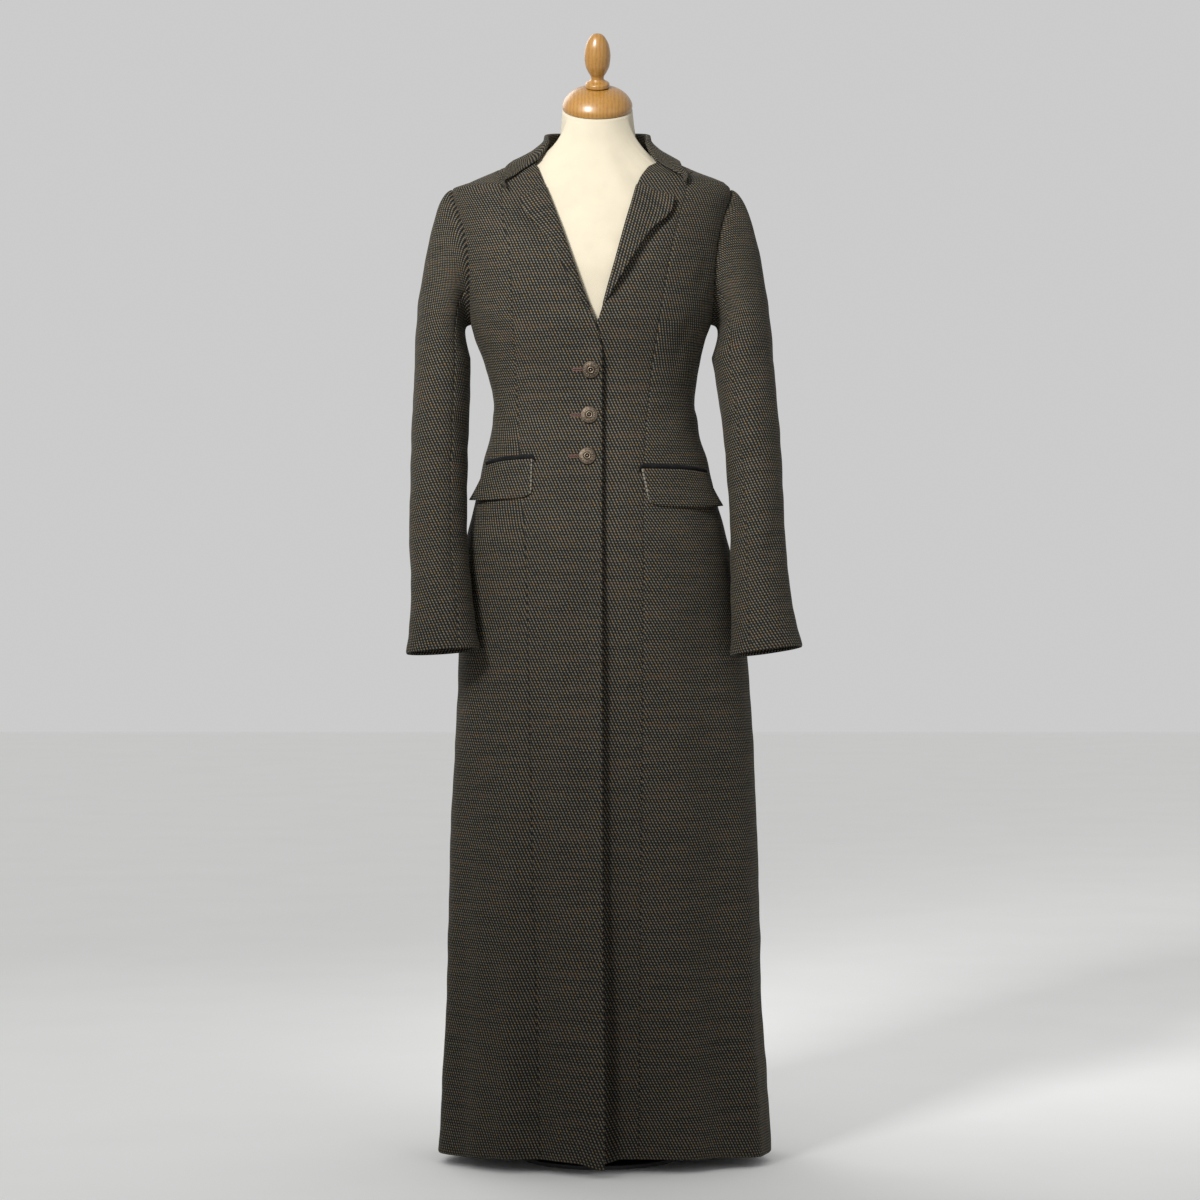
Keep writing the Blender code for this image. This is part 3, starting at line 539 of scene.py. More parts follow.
def noise(tree, vector, size, detail=2.0, roughness=0.5):
    """Noise with a grain of the given size."""
    return add(tree, "ShaderNodeTexNoise", {"Vector": vector, "Scale": 1 / size, "Detail": detail,
                                            "Roughness": roughness}).outputs["Fac"]


def waves(tree, vector, period, way, distortion, detail_scale=1.0, detail=2.0):
    """Bands of the given period across one axis."""
    # One wave's period is 2 pi / 20 at scale 1.
    return add(tree, "ShaderNodeTexWave", {
        "Vector": vector, "Scale": pi / 10 / period, "Distortion": distortion, "Detail": detail,
        "Detail Scale": detail_scale}, bands_direction=way).outputs["Fac"]


def ranged(tree, value, low, high, to_low=0.0, to_high=1.0):
    """Value carried from one range to another, and held there."""
    return add(tree, "ShaderNodeMapRange", {"Value": value, "From Min": low, "From Max": high,
                                            "To Min": to_low, "To Max": to_high}).outputs["Result"]


def blended(tree, factor, one, two):
    """Mix of two colours."""
    return add(tree, "ShaderNodeMix", {"Factor": factor, 6: one, 7: two}, data_type="RGBA").outputs[2]


def ramp(tree, factor, *stops):
    """Colour ramp from (place, colour) stops."""
    node = add(tree, "ShaderNodeValToRGB", {"Fac": factor})
    elements = node.color_ramp.elements
    while len(elements) < len(stops):
        elements.new(0.5)
    for element, (place, shade) in zip(elements, stops):
        element.position = place
        element.color = (*shade[:3], 1.0)
    return node.outputs["Color"]


def shaded(tone, factor):
    """Lighter or darker shade of a colour."""
    return tuple(min(1.0, c * factor) for c in tone)


def new_material(name, follows):
    """Empty node material, its tree and what its pattern follows: the cut of the cloth or the object."""
    material = bpy.data.materials.new(name)
    material.use_nodes = True
    tree = material.node_tree
    tree.nodes.clear()
    if follows == "cut":
        return material, tree, add(tree, "ShaderNodeUVMap", uv_map="cut").outputs["UV"]
    return material, tree, add(tree, "ShaderNodeTexCoord").outputs["Object"]


def finish_material(tree, tone, roughness, relief=None, more=()):
    """Shade a material; relief is the height of its grain, the strength and the depth."""
    inputs = {"Base Color": tone, "Roughness": roughness, **dict(more)}
    if relief:
        bump = add(tree, "ShaderNodeBump", dict(zip(("Height", "Strength", "Distance"), relief)))
        inputs["Normal"] = bump.outputs["Normal"]
    shader = add(tree, "ShaderNodeBsdfPrincipled", inputs)
    add(tree, "ShaderNodeOutputMaterial", {"Surface": shader.outputs["BSDF"]})


def tweed_material(name, settings):
    """Woollen twill: charcoal ground, steep olive lines with tan floats, rust flecks; soft and rough."""
    material, tree, uv = new_material(name, "cut")
    pick = settings.pick_height
    slanted = moved(tree, uv, Rotation=(0, 0, -(pi / 2 - settings.twill_angle)))
    twill = waves(tree, slanted, settings.twill_width * sin(settings.twill_angle), "X", 1.3, 0.55)
    picks = waves(tree, uv, pick, "Y", 1.8, 0.45)
    # Yarn shade changes from pick to pick, and slowly along each one.
    rows = noise(tree, moved(tree, uv, Scale=(14.0, 1 / (2.2 * pick), 1.0)), 1.0)
    flecks = noise(tree, uv, 0.0026, roughness=0.6)
    floats = maths(tree, "MULTIPLY", twill, picks)
    body = maths(tree, "MULTIPLY_ADD", twill, 0.45, 0.12)
    lines = maths(tree, "MULTIPLY_ADD", floats, 0.62, body)
    varied = maths(tree, "MULTIPLY_ADD", rows, 0.36, -0.18)
    speck = maths(tree, "MULTIPLY_ADD", flecks, 0.9, -0.45)
    tone = maths(tree, "ADD", maths(tree, "ADD", lines, varied), speck)
    # Each float takes its own shade, from grey tan to gold.
    light = ramp(tree, noise(tree, uv, 0.0062, 1.0), (0.46, settings.tan_yarn), (0.70, settings.gold_yarn))
    ground = ramp(tree, tone, (0.12, settings.dark_yarn), (0.52, settings.olive_yarn))
    yarn = blended(tree, ranged(tree, tone, 0.56, 1.04), ground, light)
    warm = maths(tree, "MULTIPLY", ranged(tree, rows, 0.52, 0.72, 0.0, 0.55), floats)
    rust = blended(tree, warm, yarn, (*settings.rust_yarn, 1.0))
    cloud = ranged(tree, noise(tree, uv, 0.09), 0.0, 1.0, 0.88, 1.12)
    final = add(tree, "ShaderNodeVectorMath", {0: rust, "Scale": cloud}, operation="SCALE").outputs[0]
    height = maths(tree, "MULTIPLY_ADD", flecks, 0.6, lines)
    finish_material(tree, final, 0.92, (height, 0.55, 0.0006), {
        "Specular IOR Level": 0.22, "Sheen Weight": 0.20, "Sheen Roughness": 0.45,
        "Sheen Tint": (*settings.tan_yarn, 1.0)})
    return material


def satin_material(name, settings):
    """Satin lining: smooth filament twill, dark, with a soft streaked gloss along the cloth."""
    material, tree, uv = new_material(name, "cut")
    streak = noise(tree, moved(tree, uv, Scale=(900.0, 40.0, 1.0)), 1.0, 3.0)
    tone = ramp(tree, streak, (0.3, settings.lining), (0.8, shaded(settings.lining, 1.9)))
    finish_material(tree, tone, ranged(tree, streak, 0.0, 1.0, 0.34, 0.52), (streak, 0.2, 0.0002))
    return material


def velvet_material(name, settings):
    """Cotton velvet: a dense cut pile, nearly black face on, pale where it turns away."""
    material, tree, uv = new_material(name, "cut")
    pile = noise(tree, uv, 0.0011, 3.0)
    brushed = maths(tree, "MULTIPLY_ADD", pile, 0.5, noise(tree, uv, 0.014, 1.0))
    tone = ramp(tree, brushed, (0.45, settings.velvet), (1.0, shaded(settings.velvet, 2.6)))
    finish_material(tree, tone, 0.95, (pile, 0.4, 0.0004), {
        "Specular IOR Level": 0.1, "Sheen Weight": 0.2, "Sheen Roughness": 0.3,
        "Sheen Tint": (0.20, 0.20, 0.21, 1.0)})
    return material


def tape_material(name, settings):
    """Woven cotton edge tape: pale, with a fine rib across it, and dark edge stitches over it."""
    material, tree, uv = new_material(name, "cut")
    rib = waves(tree, uv, 0.0012, "Y", 1.5)
    pale = ramp(tree, rib, (0.2, shaded(settings.edge_tape, 0.55)), (0.8, settings.edge_tape))
    stitch = ranged(tree, waves(tree, uv, 0.0055, "Y", 2.5), 0.25, 0.45, 0.85, 0.0)
    tone = blended(tree, stitch, pale, (*settings.olive_yarn, 1.0))
    finish_material(tree, tone, 0.9, (rib, 0.3, 0.0003))
    return material


def pewter_material(name, settings):
    """Antiqued pewter: worn bright on what stands up, dark patina left in the hollows."""
    material, tree, spot = new_material(name, "object")
    worn = add(tree, "ShaderNodeAttribute", attribute_name="worn", attribute_type="GEOMETRY").outputs["Fac"]
    stain = noise(tree, spot, 0.0030, 4.0)
    level = maths(tree, "ADD", maths(tree, "MULTIPLY_ADD", stain, 0.7, -0.35), worn)
    tone = ramp(tree, level, (0.15, settings.patina), (0.75, settings.pewter))
    rough = ranged(tree, level, 0.0, 1.0, 0.62, 0.44)
    finish_material(tree, tone, rough, (stain, 0.3, 0.0002), {"Metallic": 1.0})
    return material


def thread_material(name, settings):
    """Silk buttonhole twist: two plies that catch the light in short stripes."""
    material, tree, spot = new_material(name, "object")
    ply = waves(tree, spot, 0.0007, "DIAGONAL", 2.0)
    tone = ramp(tree, ply, (0.2, settings.thread), (0.9, shaded(settings.thread, 1.6)))
    finish_material(tree, tone, 0.6, more={"Sheen Weight": 0.2})
    return material


def cotton_material(name, settings):
    """Ivory cotton drill stretched on the form: fine plain weave, with painted shade making its hollows a
    little grey.
    """
    material, tree, spot = new_material(name, "object")
    # The real 0.5 mm weave is too fine to show, so it is drawn at 1.4 mm.
    weave = maths(tree, "MULTIPLY", *(waves(tree, spot, 0.0014, way, 0.6) for way in "XZ"))
    level = maths(tree, "MULTIPLY_ADD", weave, 0.35, noise(tree, spot, 0.03, 3.0))
    # Painted shade: the weave's hollows are drawn darker; the slow noise is the cover's own mottle.
    tone = ramp(tree, level, (0.30, shaded(settings.cotton, 0.91)), (0.75, settings.cotton))
    finish_material(tree, tone, 0.85, (weave, 0.25, 0.0003), {"Sheen Weight": 0.1})
    return material


def wood_material(name, settings):
    """Turned beech under clear varnish: short flecked grain up the turning, wet-looking coat."""
    material, tree, spot = new_material(name, "object")
    lean = moved(tree, spot, Rotation=(radians(-NECK_RINGS[-1][4]), 0, 0), Scale=(1.0, 1.0, 0.16))
    fleck = noise(tree, lean, 0.0016, 3.0)
    level = maths(tree, "MULTIPLY_ADD", waves(tree, lean, 0.005, "X", 4.0, 1.4, 3.0), 0.35, fleck)
    tone = ramp(tree, level, (0.40, settings.grain), (0.80, settings.wood))
    finish_material(tree, tone, 0.42, (fleck, 0.06, 0.0004), {"Coat Weight": 0.6, "Coat Roughness": 0.25})
    return material


def enamel_material(name, settings):
    """Stove enamel on cast iron: black satin with the casting's faint orange peel."""
    material, tree, spot = new_material(name, "object")
    peel = noise(tree, spot, 0.003)
    tone = ramp(tree, peel, (0.35, settings.iron), (0.8, shaded(settings.iron, 1.6)))
    finish_material(tree, tone, ranged(tree, peel, 0.0, 1.0, 0.36, 0.52), (peel, 0.15, 0.0004))
    return material


MATERIALS = {
    # maker, and the settings it reads
    "woollen_tweed": (tweed_material, "coat"), "satin_lining": (satin_material, "coat"),
    "cotton_velvet": (velvet_material, "coat"), "cotton_tape": (tape_material, "coat"),
    "antiqued_pewter": (pewter_material, "coat"), "silk_twist": (thread_material, "coat"),
    "cotton_drill": (cotton_material, "form"), "varnished_beech": (wood_material, "form"),
    "stove_enamel": (enamel_material, "form"),
}


def shared_material(context, name):
    """Material by name, made on first use."""
    make, settings = MATERIALS[name]
    return bpy.data.materials.get(name) or make(name, getattr(context.scene, settings))


def cloth_materials(context):
    return [shared_material(context, name) for name in ("woollen_tweed", "satin_lining")]


class CoatOperator(bpy.types.Operator):
    """Base of the operators that make pieces."""
    bl_options = {"REGISTER", "UNDO"}


class COAT_OT_body(CoatOperator):
    """Sew the fronts, side fronts and backs"""
    bl_idname = "coat.body"
    bl_label = "Body Panels"

    def execute(self, context):
        step = context.scene.coat.mesh_step
        materials = cloth_materials(context)
        neck_angle = smooth([(z, a) for a, z in NECKLINE[:4]])
        for name, sign, edge, princess in (("right", -1, EDGE_RIGHT, PRINCESS_RIGHT),
                                           ("left", 1, EDGE_LEFT, PRINCESS_LEFT)):
            edge_x, princess_x = smooth(edge), smooth(princess)

            def opening(z):
                edge = angle_at(edge_x(z), z)
                # Above the front edge the panel runs back under the collar.
                return edge + (sign * np.radians(neck_angle(z)) - edge) * fade(z, *UNDER_COLLAR)

            def seam(z):
                line = angle_at(princess_x(z), z)
                return line + (sign * pi / 2 - line) * fade(z, 1.335, PRINCESS_TOP + 0.002)

            def side(z):
                return sign * (pi / 2 - armhole(z)[0])

            def rear(z):
                return sign * (pi / 2 + armhole(z)[1])

            def spine(z):
                return sign * pi + 0.0 * z

            lap = over_edge if sign < 0 else under_edge
            self.panel(f"front_{name}", step, FRONT_TOP, 0.11, opening, seam, 0.0, materials, lap,
                       EDGE_FACING)
            self.panel(f"side_{name}", step, PRINCESS_TOP, 0.13, seam, side, sign * pi / 3, materials)
            self.panel(f"back_{name}", step, NECK_BACK, 0.24, rear, spine, sign * pi, materials)
        return {"FINISHED"}

    def panel(self, name, step, top, width, first, last, grain, materials, lap=no_lap, facing=0.0):
        """One panel from hem to top between two edges; grain is the angle its straight grain follows."""
        low = RINGS[0][0]
        heights = low + (top - low) * places(top - low, step)
        # Rows crowd at both ends of the armhole, where its edge turns fast.
        close = np.arange(0.0, 0.020, 0.0013)
        extra = [UNDERARM + d for d in (-0.002, *close)] + [SHOULDER_TIP - d for d in (-0.0015, *close)]
        heights = np.unique(np.concatenate([heights, [z for z in extra if z < top - 0.005]]))
        u = places(width, step)
        z = np.repeat(heights[:, None], len(u), axis=1)
        start, end = first(z), last(z)
        angle = start + (end - start) * u
        z = z + (hem_height(np.degrees(angle)) - low) * (1 - fade(z, low, 0.12))
        if top == NECK_BACK:
            z = z + (neckline(np.degrees(np.abs(angle))) - NECK_BACK) * fade(z, 1.33, NECK_BACK)
        spots = ring(z, angle)
        run = lengths(spots, 1)
        edge = np.minimum(run, run[:, -1:] - run)
        edge = np.minimum(edge, np.minimum(z - z[:1], z[-1:] - z))
        lift = body_creases(z, angle) + lap(z, angle)
        pucker = sum(PUCKER * uneven(spots, PUCKER_WAVE, seed) * np.exp(-off / PUCKER_REACH)
                     for seed, off in ((21, run), (22, run[:, -1:] - run)))
        face = skin(z, angle, lift + pucker - turn_in(edge))
        back = skin(z, angle, lift - CLOTH)
        turn = np.linspace(0, 1, 25)
        lead = ring(z[:, :1] + 0 * turn, grain + (angle[:, :1] - grain) * turn)
        lead = lengths(lead, 1)[:, -1:] * np.sign(np.sin(angle[:, :1] - grain + 1e-9))
        ahead = np.sign(angle[:, -1:] - angle[:, :1])
        rise = lengths(spots, 0)[:, len(u) // 2][:, None]
        faced = (z - z[:1] < HEM_FACING) | (run < facing)
        sew(name, face, back, np.stack([lead + ahead * run, rise + 0 * run], -1), materials, faced=faced)


class COAT_OT_sleeves(CoatOperator):
    """Set the two-piece sleeves in the armholes"""
    bl_idname = "coat.sleeves"
    bl_label = "Sleeves"

    def execute(self, context):
        step = context.scene.coat.mesh_step
        materials = cloth_materials(context)
        for name, sign in (("right", -1), ("left", 1)):
            self.sleeve(name, sign, step, materials)
        return {"FINISHED"}

    def sleeve(self, name, sign, step, materials):
        """Upper and under sleeve: a head from the armhole bending down into a tube."""
        heights = (SHOULDER_TIP, *ARM_ROWS[::-1], UNDERARM, *ARM_ROWS, SHOULDER_TIP)
        count = len(heights) - 1
        half = count // 2
        height_at = smooth(list(enumerate(heights[:half + 1])))
        column = [smooth(SLEEVES[name], i) for i in (1, 2, 3, 4)]

        def outline(k):
            """Height round the armhole, and angle from the middle of the side."""
            way = k % count
            z = height_at(np.where(way > half, count - way, way))
            ahead, behind = armhole(z)
            return z, np.where(way > half, behind, -ahead)

        def head_edge(k):
            z, turn = outline(k)
            return ring(z, sign * (pi / 2 + turn))

        def allowance(k, depth):
            """Seam allowance of the sleeve, under the edge of the body."""
            z, turn = outline(k)
            way = unit(np.stack([turn * ARM_RADIUS, z - (UNDERARM + SHOULDER_TIP) / 2], -1)) * 0.004
            return skin(z + way[..., 1], sign * (pi / 2 + turn + way[..., 0] / ARM_RADIUS), -CLOTH - depth)

        def tube(k, z):
            x, y, half_w, half_d = (c(z) for c in column)
            turn = 2 * pi * k / count
            dx, dy = sign * half_w * np.cos(turn), -half_d * np.sin(turn)
            tilt = (CUFF_SLOPE[name] * dx - CUFF_DIP * dy) * (1 - fade(z, CUFF, 0.95))
            return np.stack([x + dx, y + dy, z + tilt], axis=-1)

        def surface(k, t):
            """t runs 0 to 1 down the head and 1 to 2 down the tube."""
            start, end = head_edge(k), tube(k, SLEEVE_TOP + 0.0 * k)
            high = np.cos(2 * pi * k / count)
            out = np.stack([sign * (0.020 + 0.004 * high), 0.0 * k, 0.001 * (1 - high)], axis=-1)
            reach = 0.062 + 0.048 * high
            rise = np.stack([-sign * 0.004 * high, 0.10 * reach, reach], axis=-1)
            s = np.expand_dims(np.clip(t, 0, 1), -1)
            head = ((1 - s) ** 3 * start + 3 * s * (1 - s) ** 2 * (start + out)
                    + 3 * s * s * (1 - s) * (end + rise) + s ** 3 * end)
            z = SLEEVE_TOP + (CUFF - SLEEVE_TOP) * np.clip(t - 1, 0, 1)
            return np.where(np.expand_dims(t <= 1, -1), head, tube(k, z))

        pieces = (("upper", SEAM_BACK - count, SEAM_FRONT), ("under", SEAM_FRONT, SEAM_BACK))
        for part, first, last in pieces:
            middle = (first + last) / 2
            u = first + (last - first) * places((last - first) * SLEEVE_STEP, step)
            u = np.unique(np.concatenate([u, middle + np.linspace(-1, 1, 21)]))
            t = np.concatenate([places(0.20, step)[:-4], 1 + places(SLEEVE_TOP - CUFF, step)[3:]])
            k, t = np.meshgrid(u, t)
            spots = surface(k, t)
            around = surface(k + 0.1, t) - surface(k - 0.1, t)
            down = surface(k, np.minimum(t + 0.01, 2)) - surface(k, np.maximum(t - 0.01, 0))
            out = sign * unit(np.cross(around, down))
            run, drop, edge = spans(spots)
            lift = 0.0009 * uneven(spots, 0.07, 5) + 0.0004 * uneven(spots, 0.03, 6)
            for k0, z0, k1, z1, width, depth in SLEEVE_CREASES:
                for way in (k, k + count):
                    ends = ((k0 * SLEEVE_STEP, z0), (k1 * SLEEVE_STEP, z1))
                    lift = lift + crease(way * SLEEVE_STEP, spots[..., 2], ends, width, depth)
            ease = 0.0007 * np.sin(k * 5.0) * np.exp(-drop / 0.022)
            flare = 0.0024 * (1 - fade(drop[-1:] - drop, 0.0, 0.028))
            lift = (lift + ease) * fade(drop, 0.0, 0.012) + flare
            face = spots + np.expand_dims(lift - turn_in(edge), -1) * out
            back = spots + np.expand_dims(lift - CLOTH, -1) * out
            face = np.concatenate([allowance(k[:1], 0.0004), face])
            back = np.concatenate([allowance(k[:1], 0.0012), back])
            uv = np.stack([-sign * (run - run[:, run.shape[1] // 2][:, None]), drop[-1:] - drop], -1)
            uv = np.concatenate([uv[:1] + (0.0, 0.004), uv])
            faced = uv[..., 1] < CUFF_FACING
            sew(f"sleeve_{name}_{part}", face, back, uv, materials,
                faced=faced)


class COAT_OT_lapels(CoatOperator):
    """Turn the lapels back along their roll"""
    bl_idname = "coat.lapels"
    bl_label = "Lapels"

    def execute(self, context):
        step = context.scene.coat.mesh_step * 0.5
        # Turned back, a lapel is tweed on both faces.
        materials = cloth_materials(context)[:1] * 2
        for name, sign, table, lap, lean in (("right", -1, LAPEL_RIGHT, front_lap, radians(7.0)),
                                             ("left", 1, LAPEL_LEFT, no_lap, radians(24.0))):
            roll, outer = smooth(table, 1), smooth(table, 2)
            low, high = table[0][0], table[-1][0]
            u, v = np.meshgrid(places(0.04, step), places(high - low, step))
            z = low + (high - low) * v
            x = roll(z) + (outer(z) - roll(z)) * u
            z = z - LAPEL_DROP * u * fade(v, 0.55, 1.0)
            angle = angle_at(x, z)
            spots = ring(z, angle)
            run, rise = lengths(spots, 1), lengths(spots, 0)
            edge = np.minimum(run[:, -1:] - run, np.minimum(rise, rise[-1:] - rise))
            # The roll starts on the front's edge and swells softly before the lapel lies down.
            swell = 0.0030 * np.sin(pi * np.clip(run / 0.030, 0, 1)) * (1 - 0.5 * v) * fade(v, 0.0, 0.15)
            tuck = LAP * (1 - np.clip(run / 0.0045, 0, 1)) ** 2
            lift = 2 * LAYER + 0.002 * u * v + 0.0030 * u * u * fade(v, 0.0, 0.3) + swell
            # Its foot runs out into the front.
            lift = lift + 0.0005 * uneven(spots, 0.05, 31) - 0.0028 * (1 - fade(v, 0.0, 0.10))
            lift = lift + lap(z, angle)
            face = skin(z, angle, lift + CLOTH - tuck - turn_in(edge, 0.0009))
            back = skin(z, angle, lift - tuck)
            # Turned back, each lapel shows the twill at its own lean.
            across, up = sign * run, rise
            uv = np.stack([across * cos(lean) - up * sin(lean), across * sin(lean) + up * cos(lean)], -1)
            sew(f"lapel_{name}", face, back, uv, materials)
        return {"FINISHED"}


class COAT_OT_collar(CoatOperator):
    """Fold the collar over its stand"""
    bl_idname = "coat.collar"
    bl_label = "Collar"

    def execute(self, context):
        step = context.scene.coat.mesh_step * 0.6
        fold, edge, edge_angle, edge_lift = (smooth(COLLAR, i) for i in (1, 2, 3, 4))

        def surface(s, q):
            """s runs round the neck, -1 to 1; q up the stand to 1, over the fold to 2, down the leaf to 3."""
            degrees = 180.0 - (180.0 - COLLAR[0][0]) * np.abs(s)
            top, foot = fold(degrees), neckline(degrees) + 0.0005
            shoulder = top - COLLAR_TURN
            turn = np.clip(q - 1.0, 0, 1) * pi
            fall = np.clip(q - 2.0, 0, 1)
            stand = foot + (shoulder - foot) * np.clip(q, 0, 1)
            z = np.where(q <= 1.0, stand, shoulder + COLLAR_TURN * np.sin(turn))
            z = np.where(q > 2.0, shoulder + (edge(degrees) - shoulder) * fall, z)
            lift = -CLOTH + COLLAR_TURN * (1 - np.cos(turn))
            lift = lift + (edge_lift(degrees) - lift) * fall + 0.0050 * fall ** 2 * fade(np.abs(s), 0.72, 1.0)
            # The right leaf hangs a little lower at its end.
            z = z - 0.0060 * fall * fade(s, 0.74, 1.0)
            angle = degrees + (edge_angle(degrees) - degrees) * fall
            return skin(z, np.where(s < 0, 1, -1) * np.radians(angle), lift)

        s = 2 * places(0.40, step) - 1
        q = np.concatenate([places(0.03, step)[:-4], 1 + np.linspace(0, 1, 14)[1:-1],
                            2 + places(0.06, step)[4:]])
        s, q = np.meshgrid(s, q)
        spots = surface(s, q)
        along = surface(np.minimum(s + 0.01, 1.0), q) - surface(np.maximum(s - 0.01, -1.0), q)
        over = surface(s, np.minimum(q + 0.02, 3.0)) - surface(s, np.maximum(q - 0.02, 0.0))
        inside = unit(np.cross(along, over))
        run, rise, rim = spans(spots)
        lift = 0.0006 * uneven(spots, 0.06, 41) * np.clip(q - 1.5, 0, 1)
        face = spots + np.expand_dims(turn_in(rim, 0.0009) - lift, -1) * inside
        back = spots + np.expand_dims(CLOTH - lift, -1) * inside
        middle = run[:, run.shape[1] // 2][:, None]
        uv = np.stack([run - middle, rise], -1)
        sew("collar", face, back, uv, cloth_materials(context)[:1] * 2)
        return {"FINISHED"}


class COAT_OT_pockets(CoatOperator):
    """Hang the pocket flaps under their velvet welts"""
    bl_idname = "coat.pockets"
    bl_label = "Pocket Flaps and Welts"

    def execute(self, context):
        step = context.scene.coat.mesh_step * 0.4
        materials = cloth_materials(context)
        velvet, tape = (shared_material(context, name) for name in ("cotton_velvet", "cotton_tape"))
        for name, flap in FLAPS.items():
            lap = front_lap if name == "right" else no_lap

            def corner(key, u):
                return flap[key][0] + (flap[key][1] - flap[key][0]) * u

            u, v = np.meshgrid(places(0.10, step), places(0.055, step))
            z = corner("top", u) + (corner("bottom", u) - corner("top", u)) * v
            # The top arches, the lower edge sags a little, and its front corner is rounded.
            arch = POCKET_ARCH * np.sin(pi * u)
            z = z + arch * (1 - v) - 0.0014 * np.sin(pi * u) * v ** 2
            z = z + 0.0042 * v ** 7 * (1 - np.clip(u / 0.09, 0, 1)) ** 2
            front, side = corner("front", v), corner("side", v)
            front = front + 0.0018 * np.sign(side) * v ** 9
            angle = between(front, side, z, u)
            spring = 0.0010 * v + flap["spring"] * v ** 1.5 * u ** 2
            obj = self.lay(f"flap_{name}", z, angle, spring + LAYER, materials + [tape], 0.0009, lap)
            self.tape_edge(obj, 0.0013)

            u, v = np.meshgrid(places(0.09, step), places(WELT_HEIGHT, step * 0.6))
            # The welt arches with the flap, and its front end hooks down before the flap's edge.
            hook = 0.0060 * (1 - np.clip(u / 0.045, 0, 1)) ** 2
            z = corner("top", u) + 0.0004 + 0.8 * WELT_HEIGHT * v + POCKET_ARCH * np.sin(pi * u) - hook
            front, side = flap["front"][0] - 0.0034 * np.sign(flap["side"][0]), flap["side"][0]
            angle = between(front, side, z, u)
            swell = LAYER + 0.0006 * np.sin(pi * v)
            self.lay(f"welt_{name}", z, angle, swell, [velvet, velvet], 0.0012, lap, "velvet")
        return {"FINISHED"}

    def lay(self, name, z, angle, lift, materials, roll, lap, slot="tweed"):
        """Lay one small piece on the hip."""
        spots = ring(z, angle)
        run, drop, rim = spans(spots)
        lift = lift + body_creases(z, angle) + lap(z, angle)
        face = skin(z, angle, lift + CLOTH - turn_in(rim, roll, 0.0022))
        back = skin(z, angle, lift)
        ahead = np.sign(angle[:, -1:] - angle[:, :1])
        up = np.sign(z[-1:] - z[:1])
        return sew(name, face, back, np.stack([ahead * run, up * drop], -1), materials)

    def tape_edge(self, obj, breadth):
        """Let the tape that binds a flap's front edge show."""
        mesh = obj.data
        corners = np.zeros(len(mesh.loops) * 2, np.float32)
        mesh.uv_layers["cut"].uv.foreach_get("vector", corners)
        across = np.abs(corners.reshape(-1, 4, 2)[:, :, 0].mean(axis=1))
        side = np.zeros(len(mesh.polygons), np.int32)
        mesh.polygons.foreach_get("material_index", side)
        side[across < breadth] = 2
        mesh.polygons.foreach_set("material_index", side)


def turned_mesh(name, profile, steps, place, material, worn=None):
    """Body of revolution from a (radius, height) profile, closed at both poles, set in a frame."""
    radii, heights = np.array(profile, float).T
    turn = np.linspace(0, 2 * pi, steps, endpoint=False)
    rings = np.stack([radii[1:-1, None] * np.cos(turn), radii[1:-1, None] * np.sin(turn),
                      heights[1:-1, None] + 0 * turn], -1).reshape(-1, 3)
    bm = bmesh.new()
    layer = bm.verts.layers.float.new("worn") if worn is not None else None
    verts = [bm.verts.new(spot) for spot in rings]
    top, bottom = bm.verts.new((0, 0, heights[0])), bm.verts.new((0, 0, heights[-1]))
    count = len(radii) - 2
    for j in range(steps):
        after = (j + 1) % steps
        bm.faces.new((top, verts[j], verts[after]))
        for i in range(count - 1):
            a, b = i * steps, (i + 1) * steps
            bm.faces.new((verts[a + j], verts[b + j], verts[b + after], verts[a + after]))
        last = (count - 1) * steps
        bm.faces.new((verts[last + j], bottom, verts[last + after]))
    if layer is not None:
        for number, vert in enumerate(verts):
            vert[layer] = worn[number // steps + 1]
        top[layer], bottom[layer] = worn[0], 0.0
    bmesh.ops.recalc_face_normals(bm, faces=bm.faces[:])
    bmesh.ops.transform(bm, matrix=place, verts=bm.verts[:])
    mesh = bpy.data.meshes.new(name)
    bm.to_mesh(mesh)
    bm.free()
    mesh.materials.append(material)
    mesh.shade_smooth()
    return mesh


def refined(profile, parts=6):
    """The same turned profile with more points, rounded between its corners."""
    radii, heights = np.array(profile, float).T
    run = np.concatenate(([0.0], np.cumsum(np.hypot(np.diff(radii), np.diff(heights)))))
    fine = np.unique(np.concatenate([np.linspace(a, b, parts + 1) for a, b in zip(run, run[1:])]))
    return list(zip(smooth(list(zip(run, radii)))(fine), smooth(list(zip(run, heights)))(fine)))


